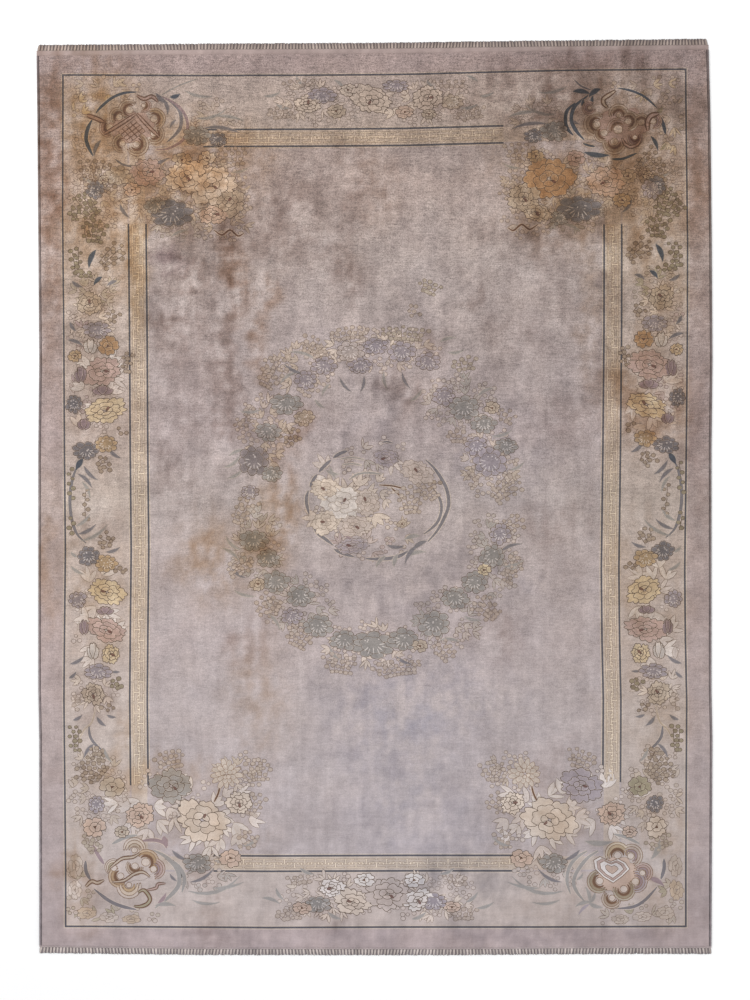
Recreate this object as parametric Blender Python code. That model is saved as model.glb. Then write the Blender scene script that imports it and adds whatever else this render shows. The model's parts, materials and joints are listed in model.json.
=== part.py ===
"""A nine by twelve foot silk rug, lying flat: the pile, its two overcast sides and its two fringed ends."""

import math

import bmesh
import bpy
import numpy as np
from mathutils import Matrix

# Sizes in metres. The rug lies on z = 0, with its length along Y and its width along X.
WIDTH = 2.743
LENGTH = 3.658
PILE_HEIGHT = 0.009
PILE_ROUNDING = 0.003
# A corner is found in this many steps between its side and its end.
CLOSING_STEPS = 4
# Neighbouring pieces lie this far apart.
GAP = 0.0003

# Each overcast side is round on top. The flat of its underside cuts the round at this share of its radius.
SELVEDGE_WIDTH = 0.011
SELVEDGE_HEIGHT = 0.0075
SELVEDGE_SIDES = 12
SELVEDGE_FLAT = 0.4

# The woven web between the pile and the strands shows wider at the top end.
WEB_THICKNESS = 0.0026
WEB_TOP_WIDTH = 0.020
WEB_BOTTOM_WIDTH = 0.006

# Strands at each end. Each fills a share of its pitch, swells over a knot and thins to its tip.
STRANDS = 148
STRAND_LENGTH = 0.027
STRAND_FILL = 0.52
KNOT_REACH = 0.45
KNOT_SWELL = 1.35
KNOT_SPREAD = 0.92
TIP_HEIGHT = 0.55
TIP_SPREAD = 0.62

# The strands lean to and fro in a few slow waves, and their lengths differ a little in a run of five.
SLANT_MOST = 0.0045
SLANT_WAVES = 3.5
UNEVEN_RUN = 5
UNEVEN_LENGTH = 0.0012

MM = 0.001

# How far each side stands outside its straight line, in millimetres, from the top end to the bottom end.
# place along Y (m), left side, right side
SIDES = (
    (1.842, 5.0, -11.0),
    (1.533, 1.0, -3.0),
    (1.045, -3.0, 2.0),
    (0.557, -7.0, 5.0),
    (0.191, -3.0, 1.0),
    (-0.785, -3.0, 1.0),
    (-0.988, -7.0, 5.0),
    (-1.761, -7.0, 1.0),
    (-1.867, -7.0, 1.0),
)

# The same for the fringe's tips at each end, from the left to the right.
# place along X (m), top end, bottom end
ENDS = (
    (-1.3715, -14.0, 2.0),
    (-1.050, -12.0, 6.0),
    (-0.700, -9.0, 10.0),
    (0.000, -5.5, 11.0),
    (0.350, -1.0, 11.0),
    (0.650, 3.0, 8.0),
    (1.050, 7.0, 6.0),
    (1.3715, 11.0, 6.0),
)

# name, colour, roughness
FINISHES = {
    "rug_body": ((0.44, 0.37, 0.34, 1.0), 0.62),
    "selvedge": ((0.31, 0.26, 0.26, 1.0), 0.70),
    "fringe": ((0.60, 0.55, 0.49, 1.0), 0.75),
}


def read_table(table, place, column):
    """The table's value at a place, on straight lines between its rows."""
    rows = sorted(table)
    places = [row[0] for row in rows]
    values = [row[column] for row in rows]
    return float(np.interp(place, places, values))


def side_x(y, side):
    """Where the outer edge of a side is: -1 is the left one and 1 the right one."""
    column = 1 if side < 0 else 2
    return side * (WIDTH / 2 + read_table(SIDES, y, column) * MM)


def web_y(x, end):
    """Where the woven web stops and the strands begin: 1 is the top end and -1 the bottom one."""
    column = 1 if end > 0 else 2
    return end * (LENGTH / 2 + read_table(ENDS, x, column) * MM)


def pile_y(x, end):
    """Where the pile stops, short of the web."""
    web_width = WEB_TOP_WIDTH if end > 0 else WEB_BOTTOM_WIDTH
    return web_y(x, end) - end * web_width


def pile_x(y, side):
    """Where the pile stops, short of the overcast side."""
    return side_x(y, side) - side * (SELVEDGE_WIDTH + GAP)


def cord_middle(y, side):
    """Where the middle of an overcast side runs."""
    return side_x(y, side) - side * SELVEDGE_WIDTH / 2


def make_material(name, colour, roughness):
    material = bpy.data.materials.new(name)
    material.use_nodes = True
    shader = material.node_tree.nodes["Principled BSDF"]
    shader.inputs["Base Color"].default_value = colour
    shader.inputs["Roughness"].default_value = roughness
    shader.inputs["Metallic"].default_value = 0.0
    return material


def make_object(name, mesh_maker, finish, collection):
    """Turns a bmesh into a named object with its own material."""
    mesh = bpy.data.meshes.new(name)
    bmesh.ops.recalc_face_normals(mesh_maker, faces=mesh_maker.faces)
    mesh_maker.to_mesh(mesh)
    mesh_maker.free()
    colour, roughness = FINISHES[finish]
    mesh.materials.append(make_material(name + "_silk", colour, roughness))
    made = bpy.data.objects.new(name, mesh)
    collection.objects.link(made)
    return made


def raise_sheet(shape, height):
    """Gives a flat sheet at z = 0 its thickness, upwards."""
    grown = bmesh.ops.extrude_face_region(shape, geom=shape.faces[:], use_keep_orig=True)
    raised = [item for item in grown["geom"] if isinstance(item, bmesh.types.BMVert)]
    bmesh.ops.translate(shape, verts=raised, vec=(0.0, 0.0, height))
    return raised


def pile_slab(collection):
    """The pile: a flat slab with the rug's uneven outline and a rounded upper rim."""
    columns = [row[0] for row in ENDS]
    rows = sorted(row[0] for row in SIDES)
    shape = bmesh.new()
    bmesh.ops.create_grid(shape, x_segments=len(columns) - 1, y_segments=len(rows) - 1, size=1.0)
    for vert in shape.verts:
        column = round((vert.co.x + 1) / 2 * (len(columns) - 1))
        row = round((vert.co.y + 1) / 2 * (len(rows) - 1))
        x, y = columns[column], rows[row]
        side, end = math.copysign(1, x), math.copysign(1, y)
        at_side = column in (0, len(columns) - 1)
        at_end = row in (0, len(rows) - 1)
        for _ in range(CLOSING_STEPS):
            x = pile_x(y, side) if at_side else x
            y = pile_y(x, end) if at_end else y
        vert.co = (x, y, 0.0)
    raised = set(raise_sheet(shape, PILE_HEIGHT))
    rim = [
        edge
        for edge in shape.edges
        if set(edge.verts) <= raised and any(abs(face.normal.z) < 0.5 for face in edge.link_faces)
    ]
    bmesh.ops.bevel(
        shape,
        geom=rim,
        offset=PILE_ROUNDING,
        segments=3,
        profile=0.5,
        affect="EDGES",
        material=-1,
    )
    return make_object("rug_body", shape, "rug_body", collection)


def overcast_side(name, side, collection):
    """A side wrapped in silk yarn: a low round-backed cord with a flat underside, all along the pile."""
    top = pile_y(cord_middle(LENGTH / 2, side), 1)
    bottom = pile_y(cord_middle(-LENGTH / 2, side), -1)
    stops = [top] + [row[0] for row in SIDES if bottom < row[0] < top] + [bottom]
    shape = bmesh.new()
    bmesh.ops.create_circle(shape, cap_ends=True, segments=SELVEDGE_SIDES, radius=1.0)
    for vert in shape.verts:
        across = vert.co.x * SELVEDGE_WIDTH / 2
        up = (max(vert.co.y, -SELVEDGE_FLAT) + SELVEDGE_FLAT) / (1 + SELVEDGE_FLAT)
        vert.co = (across, top, up * SELVEDGE_HEIGHT)
    bmesh.ops.translate(shape, verts=shape.verts, vec=(cord_middle(top, side), 0.0, 0.0))
    face = shape.faces[:][0]
    for above, below in zip(stops, stops[1:]):
        face = bmesh.ops.extrude_discrete_faces(shape, faces=[face])["faces"][0]
        step = (cord_middle(below, side) - cord_middle(above, side), below - above, 0.0)
        bmesh.ops.translate(shape, verts=face.verts[:], vec=step)
    open_end = [edge for edge in shape.edges if len(edge.link_faces) == 1]
    bmesh.ops.holes_fill(shape, edges=open_end)
    return make_object(name, shape, "selvedge", collection)


def fringed_end(name, end, collection):
    """A narrow woven web with its strands, which are fused to it at their roots alone."""
    first = side_x(web_y(-WIDTH / 2, end), -1)
    last = side_x(web_y(WIDTH / 2, end), 1)
    pitch = (last - first) / STRANDS
    middles = [first + (number + 0.5) * pitch for number in range(STRANDS)]
    half = pitch * STRAND_FILL / 2
    stations = [first] + [middle + shift for middle in middles for shift in (-half, half)] + [last]
    shape = bmesh.new()
    inner = [shape.verts.new((x, pile_y(x, end) + end * GAP, 0.0)) for x in stations]
    line = [shape.edges.new(pair) for pair in zip(inner, inner[1:])]
    grown = bmesh.ops.extrude_edge_only(shape, edges=line)
    for vert in grown["geom"]:
        if isinstance(vert, bmesh.types.BMVert):
            vert.co.y = web_y(vert.co.x, end)
    raise_sheet(shape, WEB_THICKNESS)
    bmesh.ops.recalc_face_normals(shape, faces=shape.faces)
    outer = [face for face in shape.faces if face.normal.y * end > 0.9]
    outer.sort(key=lambda face: face.calc_center_median().x)
    for number, face in enumerate(outer[1::2]):
        draw_strand(shape, face, number, end)
    return make_object(name, shape, "fringe", collection)


def draw_strand(shape, root, number, end):
    """Draws one strand out of its root face: up over a small knot and down to a thin tip."""
    wave = math.sin(number * 2 * math.pi / STRANDS * SLANT_WAVES + end)
    slant = SLANT_MOST * wave
    length = STRAND_LENGTH - UNEVEN_LENGTH * (number * 2 % UNEVEN_RUN) / (UNEVEN_RUN - 1)
    # share of the length, how high, how wide
    steps = (
        (KNOT_REACH, KNOT_SWELL, KNOT_SPREAD),
        (1.0 - KNOT_REACH, TIP_HEIGHT / KNOT_SWELL, TIP_SPREAD / KNOT_SPREAD),
    )
    face = root
    for share, height, spread in steps:
        face = bmesh.ops.extrude_discrete_faces(shape, faces=[face])["faces"][0]
        middle = face.calc_center_median()
        pivot = Matrix.Translation((-middle.x, -middle.y, 0.0))
        bmesh.ops.scale(shape, vec=(spread, 1.0, height), space=pivot, verts=face.verts[:])
        step = (slant * share, end * length * share, 0.0)
        bmesh.ops.translate(shape, vec=step, verts=face.verts[:])


def centre_on_origin(parts):
    """Moves the whole rug so that the middle of its box is over the origin."""
    corners = [vert.co for part in parts for vert in part.data.vertices]
    middle_x = (min(c.x for c in corners) + max(c.x for c in corners)) / 2
    middle_y = (min(c.y for c in corners) + max(c.y for c in corners)) / 2
    for part in parts:
        part.data.transform(Matrix.Translation((-middle_x, -middle_y, 0.0)))


def main():
    for old in list(bpy.data.objects):
        bpy.data.objects.remove(old, do_unlink=True)
    collection = bpy.data.collections.new("silk_rug")
    bpy.context.scene.collection.children.link(collection)
    parts = [
        pile_slab(collection),
        overcast_side("selvedge_left", -1, collection),
        overcast_side("selvedge_right", 1, collection),
        fringed_end("fringe_top", 1, collection),
        fringed_end("fringe_bottom", -1, collection),
    ]
    centre_on_origin(parts)


main()
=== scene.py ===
"""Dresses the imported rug: a carved silk pile with flowers and stains, overcast sides and knotted ends."""

import json
import math
import random
from collections import namedtuple

import bmesh
import bpy
import numpy as np
from bpy.props import FloatProperty, FloatVectorProperty, IntProperty, PointerProperty
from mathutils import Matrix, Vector, noise

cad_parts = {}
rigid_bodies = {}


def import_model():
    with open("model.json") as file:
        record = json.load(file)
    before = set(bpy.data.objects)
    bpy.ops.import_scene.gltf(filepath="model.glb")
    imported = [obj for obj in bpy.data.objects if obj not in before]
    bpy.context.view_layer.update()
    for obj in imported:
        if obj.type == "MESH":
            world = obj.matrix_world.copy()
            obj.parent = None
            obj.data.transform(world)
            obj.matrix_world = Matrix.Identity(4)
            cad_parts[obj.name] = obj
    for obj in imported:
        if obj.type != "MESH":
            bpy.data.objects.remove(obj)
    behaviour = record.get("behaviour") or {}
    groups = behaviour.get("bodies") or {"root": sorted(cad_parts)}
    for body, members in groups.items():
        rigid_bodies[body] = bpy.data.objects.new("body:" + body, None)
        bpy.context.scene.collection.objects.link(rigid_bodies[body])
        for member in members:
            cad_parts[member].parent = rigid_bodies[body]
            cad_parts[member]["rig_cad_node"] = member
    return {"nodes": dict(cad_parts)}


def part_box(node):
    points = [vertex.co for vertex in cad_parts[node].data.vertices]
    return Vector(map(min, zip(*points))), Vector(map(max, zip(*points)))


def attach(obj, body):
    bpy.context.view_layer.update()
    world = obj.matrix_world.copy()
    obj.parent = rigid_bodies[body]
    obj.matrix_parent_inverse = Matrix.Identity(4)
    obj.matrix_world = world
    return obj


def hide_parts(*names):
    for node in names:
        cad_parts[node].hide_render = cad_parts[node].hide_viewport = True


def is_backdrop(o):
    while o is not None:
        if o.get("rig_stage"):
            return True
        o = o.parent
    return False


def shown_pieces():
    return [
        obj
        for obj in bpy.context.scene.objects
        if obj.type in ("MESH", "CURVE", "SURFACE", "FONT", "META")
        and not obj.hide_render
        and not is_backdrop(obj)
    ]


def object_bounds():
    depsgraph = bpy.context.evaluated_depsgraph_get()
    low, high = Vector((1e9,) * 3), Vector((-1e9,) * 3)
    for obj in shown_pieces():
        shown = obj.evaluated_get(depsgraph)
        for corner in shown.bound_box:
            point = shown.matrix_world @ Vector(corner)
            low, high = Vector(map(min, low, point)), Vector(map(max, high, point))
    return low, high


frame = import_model()
CAD_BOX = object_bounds()

bl_info = {
    "name": "Silk Rug",
    "version": (1, 0, 0),
    "blender": (4, 5, 0),
    "location": "3D View > Sidebar > Silk Rug",
    "description": "A carved silk rug with flower borders, a wreath and a medallion",
    "category": "Add Mesh",
}

# The photograph's frame: the rug's box runs between these pixels, and its middle is over the origin.
PHOTO_LEFT, PHOTO_RIGHT = 36.0, 713.0
PHOTO_TOP, PHOTO_BOTTOM = 38.0, 956.0
PHOTO_WIDTH, PHOTO_HEIGHT = 750, 1000
MIDDLE_X = (PHOTO_LEFT + PHOTO_RIGHT) / 2
MIDDLE_Y = (PHOTO_TOP + PHOTO_BOTTOM) / 2
PIXEL = (CAD_BOX[1][1] - CAD_BOX[0][1]) / (PHOTO_BOTTOM - PHOTO_TOP)
PILE_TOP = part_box("rug_body")[1][2]
MM = 0.001


# Colours


def to_linear(value):
    """A screen colour's value, 0 to 1, as light."""
    value = np.clip(np.asarray(value, dtype=float), 0.0, 1.0)
    return np.where(value <= 0.04045, value / 12.92, ((value + 0.055) / 1.055) ** 2.4)


def screen(code):
    """A colour written as on a screen, such as b7abaa, as three values from 0 to 1."""
    return tuple(int(code[place : place + 2], 16) / 255 for place in (0, 2, 4))


def silk_colour(name, description, code):
    return FloatVectorProperty(
        name=name,
        description=description,
        subtype="COLOR_GAMMA",
        size=3,
        min=0.0,
        max=1.0,
        default=screen(code),
    )


class RugColours(bpy.types.PropertyGroup):
    """The dyes of the silk, before the stains and the fading."""

    field: silk_colour("Field", "Ground inside the borders", "b0a5a4")
    outer: silk_colour("Outer band", "Ground outside the guard line", "ae9f9c")
    border: silk_colour("Border", "Ground under the garlands", "b9aca5")
    key: silk_colour("Key band", "Ground of the key border", "baab9d")
    key_line: silk_colour("Key line", "Raised line of the key border", "dccdb9")
    guard: silk_colour("Guard line", "Dark line round each border", "57555b")
    outline: silk_colour("Outline", "Carved line round petals and leaves", "4a372b")
    cream: silk_colour("Cream", "Pale petals", "cbbdb0")
    white: silk_colour("White", "Pearls and the palest leaves", "d2cac5")
    yellow: silk_colour("Yellow", "Yellow petals", "c6b598")
    gold: silk_colour("Gold", "Gold petals", "b39b7c")
    orange: silk_colour("Orange", "Small orange flowers", "ab8a68")
    peach: silk_colour("Peach", "Peach petals", "bfa899")
    rose: silk_colour("Rose", "Rose petals", "b09991")
    mauve: silk_colour("Mauve", "Dusty mauve petals", "948184")
    lavender: silk_colour("Lavender", "Grey-lilac petals", "9f959a")
    slate: silk_colour("Slate", "Blue-grey flowers", "98938f")
    ink: silk_colour("Ink", "Dark blue-grey leaves and flowers", "7a7578")
    teal: silk_colour("Teal", "Blue-green leaves", "50555f")
    tan: silk_colour("Tan", "Tan petals and leaves", "b3a494")
    olive: silk_colour("Olive", "Olive leaves and berries", "9f9680")
    brown: silk_colour("Brown", "Brown scrolls and branches", "6e5240")
    wine: silk_colour("Wine", "Small dark seeds", "5c3b34")
    selvedge: silk_colour("Overcasting", "Yarn round the long sides", "8a8080")
    web: silk_colour("Web", "Woven ends", "bfb0ab")
    warp: silk_colour("Warp", "Knotted warp ends", "c4b8ae")


def length(name, description, metres):
    return FloatProperty(name=name, description=description, unit="LENGTH", default=metres)


class RugSizes(bpy.types.PropertyGroup):
    """How deep the carving is and how fine its lines are."""

    carve: length("Carving", "How far a petal stands over its outline", 0.06 * MM)
    line: length("Outline width", "Width of the sunken line round a petal", 5.4 * MM)
    step: length("Petal step", "Height of each petal over the one under it", 0.1 * MM)
    bundles: IntProperty(name="Warp bundles", description="Knotted bundles at each end", default=205, min=20)
    seed: IntProperty(name="Seed", description="Start of the chance in petals and berries", default=12)


# Where the borders run, in pixels: each straight line's place, before it wanders with its side.
GUARD = {"left": 64.4, "right": 686.6, "top": 73.2, "bottom": 927.0}
KEY_OUTER = {"left": 130.2, "right": 620.8, "top": 127.2, "bottom": 870.8}
KEY_INNER = {"left": 147.8, "right": 603.2, "top": 144.2, "bottom": 855.4}

# How far the lines near each side wander, in pixels to the right or down.
# place down the side, how far
LEFT_WANDER = ((90, -1.5), (210, -1.9), (330, -0.7), (450, 0.0), (550, 1.0), (630, 0.1), (700, -0.5), (870, 1.2))
RIGHT_WANDER = ((90, -0.8), (240, 1.0), (330, 0.8), (450, -0.3), (570, -1.9), (640, -1.2), (700, 0.1), (870, -0.8))
# place along the end, how far
TOP_WANDER = ((90, 1.8), (200, 2.4), (310, 2.0), (405, 1.2), (495, -1.2), (560, -2.8), (675, -4.0))
BOTTOM_WANDER = ((90, -0.6), (270, 0.6), (405, 0.0), (540, 0.0), (675, -0.6))

# The key border runs between these places, where the corner flowers don't cover it.
KEY_SPANS = {"left": (222, 786), "right": (226, 784), "top": (206, 505), "bottom": (212, 520)}

# How much of red, green and blue is left at each place down the rug: the top end darker and browner.
# place down, red, green, blue
TONE_DOWN_RUG = (
    (40, 0.82, 0.79, 0.79),
    (120, 0.82, 0.79, 0.77),
    (180, 0.87, 0.83, 0.80),
    (260, 0.90, 0.88, 0.86),
    (340, 0.89, 0.87, 0.86),
    (430, 0.90, 0.88, 0.88),
    (500, 0.93, 0.92, 0.91),
    (560, 0.94, 0.925, 0.92),
    (640, 0.965, 0.955, 0.96),
    (720, 0.97, 0.97, 0.98),
    (860, 0.97, 0.98, 1.01),
    (960, 0.95, 0.95, 0.98),
)
# place across, share of light: painted shade makes the right side a little darker
SHADE_ACROSS = ((40, 1.0), (200, 1.01), (330, 1.0), (450, 1.0), (560, 0.975), (640, 0.955), (712, 0.95))

# What a stain takes from red, green and blue at its full strength.
TINTS = {
    "brown": (0.16, 0.20, 0.22),
    "rust": (0.12, 0.21, 0.29),
    "ochre": (0.07, 0.14, 0.25),
    "tan": (0.04, 0.10, 0.18),
    "grey": (0.20, 0.19, 0.16),
    "mauve": (0.10, 0.13, 0.09),
    "pale": (-0.07, -0.075, -0.08),
    "lilac": (0.03, 0.02, 0.0),
}

# Stains and faded patches, in pixels.
# tint: across, down, half width, half height, strength
STAINS = {
    "rust": (
        (50, 180, 14, 120, 0.6), (650, 405, 40, 36, 0.45), (50, 340, 12, 60, 0.25), (236, 270, 12, 40, 0.6),
        (268, 288, 12, 14, 0.6), (262, 330, 8, 50, 0.45), (282, 500, 14, 60, 0.4),
        (300, 430, 10, 22, 0.5), (372, 180, 26, 40, 0.25), (700, 150, 12, 90, 0.35)),
    "brown": (
        (52, 165, 10, 40, 0.7), (185, 285, 34, 30, 0.45), (188, 340, 30, 30, 0.5), (180, 400, 24, 30, 0.25),
        (252, 222, 34, 40, 0.5), (300, 225, 26, 40, 0.5), (560, 100, 40, 30, 0.9),
        (655, 100, 26, 34, 0.5), (96, 520, 30, 24, 0.3), (560, 520, 34, 26, 0.3),
        (250, 640, 20, 20, 0.4), (500, 640, 20, 24, 0.4), (96, 700, 26, 24, 0.35),
        (560, 760, 24, 30, 0.2), (96, 880, 30, 26, 0.3), (178, 210, 40, 30, 0.25),
        (215, 232, 40, 22, 0.45), (197, 275, 17, 14, 0.75), (188, 290, 12, 12, 0.5),
        (168, 325, 18, 8, 0.6), (232, 330, 9, 80, 0.65), (222, 400, 14, 60, 0.4),
        (232, 425, 60, 14, 0.35), (176, 480, 18, 40, 0.3), (340, 275, 22, 22, 0.5),
        (352, 240, 12, 60, 0.35), (330, 170, 40, 26, 0.2), (398, 385, 16, 24, 0.6),
        (434, 345, 14, 14, 0.45), (470, 310, 14, 12, 0.45), (520, 330, 30, 14, 0.3),
        (560, 250, 26, 60, 0.15), (530, 240, 60, 22, 0.3), (548, 222, 30, 14, 0.3),
        (622, 124, 66, 50, 0.55), (612, 290, 10, 80, 0.45), (500, 100, 60, 26, 0.45),
        (560, 66, 60, 10, 0.35), (645, 66, 60, 10, 0.3), (95, 62, 60, 10, 0.25), (700, 300, 12, 60, 0.3),
        (702, 480, 12, 60, 0.35), (560, 420, 40, 20, 0.25), (325, 928, 16, 12, 0.4),
        (207, 905, 14, 40, 0.35)),
    "grey": ((470, 885, 50, 20, 0.4), (300, 936, 240, 12, 0.2), (560, 936, 100, 12, 0.15),
        (350, 420, 8, 40, 0.25), (384, 425, 12, 50, 0.35), (375, 345, 40, 16, 0.2),
        (428, 300, 30, 30, 0.15), (520, 575, 26, 7, 0.5), (470, 610, 60, 30, 0.2),
        (440, 560, 50, 30, 0.22), (360, 600, 60, 30, 0.2)),
    "pale": (
        (375, 340, 40, 20, 0.4), (560, 280, 30, 26, 0.3), (655, 340, 24, 26, 0.35), (375, 640, 60, 16, 0.3),
        (356, 350, 60, 16, 0.9), (490, 462, 18, 34, 1.0), (186, 177, 16, 14, 1.2),
        (664, 447, 12, 12, 1.4), (560, 520, 60, 40, 0.2), (190, 640, 60, 30, 0.35),
        (180, 720, 50, 24, 0.35), (215, 345, 24, 24, 0.4), (310, 300, 26, 44, 0.5),
        (205, 395, 30, 26, 0.35), (310, 470, 26, 26, 0.35), (420, 280, 40, 30, 0.3),
        (440, 350, 60, 30, 0.15), (300, 150, 24, 60, 0.3), (420, 200, 24, 60, 0.2),
        (480, 220, 26, 60, 0.25), (270, 100, 60, 12, 0.25), (390, 110, 60, 16, 0.25),
        (50, 420, 14, 50, 0.25), (50, 650, 14, 60, 0.3), (100, 500, 34, 20, 0.35),
        (125, 545, 20, 40, 0.3), (230, 120, 40, 20, 0.2), (570, 760, 40, 50, 0.1)),
    "tan": (
        (45, 560, 12, 70, 0.5), (215, 150, 60, 30, 0.8), (100, 250, 34, 60, 0.7), (210, 560, 26, 40, 0.75),
        (590, 300, 10, 90, 0.4), (660, 280, 26, 60, 0.6), (260, 690, 26, 60, 0.35),
        (160, 780, 60, 20, 0.45), (200, 835, 60, 30, 0.35), (80, 880, 18, 50, 0.5),
        (120, 745, 10, 30, 0.5), (560, 830, 60, 40, 0.35), (660, 850, 26, 60, 0.4),
        (610, 900, 70, 24, 0.2), (660, 710, 26, 40, 0.3)),
    "ochre": (
        (96, 110, 34, 50, 0.85), (135, 180, 70, 60, 0.6), (190, 195, 50, 40, 0.3), (137, 270, 10, 60, 0.5),
        (268, 530, 26, 55, 0.55), (560, 180, 60, 44, 0.45), (600, 200, 60, 50, 0.3),
        (622, 126, 50, 40, 0.45), (655, 190, 40, 60, 0.45), (650, 590, 34, 60, 0.3),
        (100, 600, 34, 60, 0.3), (100, 400, 34, 70, 0.2), (650, 400, 34, 60, 0.35)),
    "mauve": ((170, 265, 18, 14, 0.5),),
    "lilac": (
        (500, 460, 50, 50, 0.6), (430, 700, 90, 40, 0.8), (400, 740, 70, 60, 0.7), (430, 830, 80, 50, 0.6),
        (618, 872, 60, 50, 0.7)),
}
STAIN_EDGE = 1.6

# How patchy the silk has become down the rug, and what a worn patch takes from red, green and blue.
WEAR = ((40, 0.7), (160, 0.95), (300, 1.0), (430, 0.9), (560, 0.6), (700, 0.5), (960, 0.5))
WORN = (0.13, 0.14, 0.14)


def wander(table, place, column=1):
    """A table's value at a place, on straight lines between its rows."""
    return np.interp(place, [row[0] for row in table], [row[column] for row in table])


def drift(across, down):
    """Moves places a few pixels in slow waves, so that no stain is a plain oval."""
    moved_across = across + 5 * np.sin(down / 17.0) + 3 * np.sin(down / 7.3 + across / 31.0)
    moved_down = down + 6 * np.sin(across / 23.0) + 3 * np.sin(across / 9.1 + down / 27.0)
    return moved_across, moved_down


def cloudy(across, down, width, height, seed):
    """Cloudy noise about nought, its clouds this wide and high in pixels."""
    places = zip(across / width, down / height)
    return np.array([noise.fractal(Vector((a, d, seed)), 0.9, 2.0, 5) for a, d in places])


def ageing_and_painted_shade(across, down):
    """What stains, wear, the darker top end and the painted shade towards the right side leave of red, green and blue
    at places in pixels: one row a place.
    """
    # Darker and browner towards the top end.
    left = np.stack([wander(TONE_DOWN_RUG, down, band) for band in (1, 2, 3)])
    # Painted shade: the right side a little darker.
    left = left * wander(SHADE_ACROSS, across)
    patches = cloudy(across, down, 34.0, 40.0, 0.0)
    brushed = cloudy(across, down, 9.0, 60.0, 4.0)
    crossed = cloudy(across, down, 60.0, 9.0, 8.0)
    grains = cloudy(across, down, 9.0, 10.0, 12.0)
    moved_across, moved_down = drift(across, down)
    moved_across = moved_across + 9 * patches + 5 * crossed
    moved_down = moved_down + 9 * brushed
    wear = patches * 0.75 + brushed * 0.5 + crossed * 0.35 + grains * 0.5
    wear = np.clip(wear, -0.9, 0.9) * wander(WEAR, down)
    for band in range(3):
        left[band] *= 1 - wear * WORN[band]
    ragged = np.clip(1 + 1.1 * patches + 0.5 * brushed + 0.3 * crossed + 0.8 * grains, 0.1, 2.0)
    stains = [(tint, *stain) for tint, places in STAINS.items() for stain in places]
    for tint, middle_x, middle_y, half_width, half_height, strength in stains:
        away = ((moved_across - middle_x) / half_width) ** 2 + ((moved_down - middle_y) / half_height) ** 2
        cover = strength * np.exp(-(away**STAIN_EDGE) * 0.7) * ragged
        for band in range(3):
            left[band] *= 1 - cover * TINTS[tint][band]
    return left.T


# Outlines, in pixels of the photograph's frame


def to_metres(across, down):
    return (across - MIDDLE_X) * PIXEL, (MIDDLE_Y - down) * PIXEL


def turned(across, down, turn):
    """A point turned about the origin, in degrees."""
    angle = math.radians(turn)
    return across * math.cos(angle) - down * math.sin(angle), across * math.sin(angle) + down * math.cos(angle)


def placed(x, y, points, turn):
    """Points about the origin, turned and then moved to a place."""
    moved = [turned(across, down, turn) for across, down in points]
    return [(x + across, y + down) for across, down in moved]


def oval(x, y, half_width, half_height, turn=0.0, count=9):
    angles = [math.tau * number / count for number in range(count)]
    points = [(half_width * math.cos(angle), half_height * math.sin(angle)) for angle in angles]
    return placed(x, y, points, turn)


def through(points, steps):
    """A smooth line through the points, with this many steps between each two."""
    padded = [points[0]] + list(points) + [points[-1]]
    line = []
    for before, start, end, after in zip(padded, padded[1:], padded[2:], padded[3:]):
        for step in range(steps):
            t = step / steps
            line.append(
                tuple(
                    0.5 * (2 * s + (e - b) * t + (2 * b - 5 * s + 4 * e - a) * t**2 + (3 * s - b - 3 * e + a) * t**3)
                    for b, s, e, a in zip(before, start, end, after)
                )
            )
    line.append(tuple(points[-1]))
    return line


def band_round(line, half_widths):
    """The outline of a band along a line, as wide at each point as the list says."""
    left, right = [], []
    for number, (x, y) in enumerate(line):
        x0, y0 = line[max(number - 1, 0)]
        x1, y1 = line[min(number + 1, len(line) - 1)]
        length = math.hypot(x1 - x0, y1 - y0) or 1.0
        across, down = -(y1 - y0) / length * half_widths[number], (x1 - x0) / length * half_widths[number]
        left.append((x + across, y + down))
        right.append((x - across, y - down))
    return left + right[::-1]


def bowed(x0, y0, x1, y1, bend, count):
    """A line from one point to another that bows sideways by a share of its length."""
    middle_x = (x0 + x1) / 2 - (y1 - y0) * bend * 2
    middle_y = (y0 + y1) / 2 + (x1 - x0) * bend * 2
    line = []
    for number in range(count + 1):
        t = number / count
        line.append(
            (
                (1 - t) ** 2 * x0 + 2 * t * (1 - t) * middle_x + t**2 * x1,
                (1 - t) ** 2 * y0 + 2 * t * (1 - t) * middle_y + t**2 * y1,
            )
        )
    return line


def leaf(x0, y0, x1, y1, width, bend=0.0, count=6, belly=0.45):
    """A leaf with two sharp ends, widest at the belly."""
    line = bowed(x0, y0, x1, y1, bend, count)
    power = math.log(0.5) / math.log(belly)
    half_widths = [max(width / 2 * math.sin(math.pi * (n / count) ** power), 0.12) for n in range(count + 1)]
    return band_round(line, half_widths)


def petal(x, y, direction, length, width, lobes, squash, turn, chance):
    """A petal with a scalloped tip, drawn out from a flower's middle in a direction in radians."""
    points = []
    count = 5 * lobes if lobes > 1 else 8
    swell = 0.14 * chance.uniform(0.7, 1.3)
    for number in range(count + 1):
        t = number / count
        angle = (t - 0.5) * 2
        notch = swell * (1 - abs(math.sin(math.pi * lobes * t))) if lobes > 1 else 0.0
        reach = length * (1 - notch) * (1 - 0.30 * abs(angle) ** 2.4) * chance.uniform(0.97, 1.02)
        spread = direction + angle * width / 2
        points.append((reach * math.cos(spread), reach * math.sin(spread)))
    foot = 0.18 * length
    for beside in (direction + width / 3, direction - width / 3):
        points.append((foot * math.cos(beside), foot * math.sin(beside)))
    return placed(x, y, [(across, down * squash) for across, down in points], turn)


def lobed(x, y, half_width, half_height, lobes, depth=0.16, turn=0.0):
    """The outline of a cloud or a round flower, with a number of lobes."""
    points = []
    for number in range(lobes * 4):
        angle = math.tau * number / (lobes * 4)
        reach = 1 - depth * (1 - abs(math.sin(lobes * angle / 2)))
        points.append((half_width * reach * math.cos(angle), half_height * reach * math.sin(angle)))
    return placed(x, y, points, turn)


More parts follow.
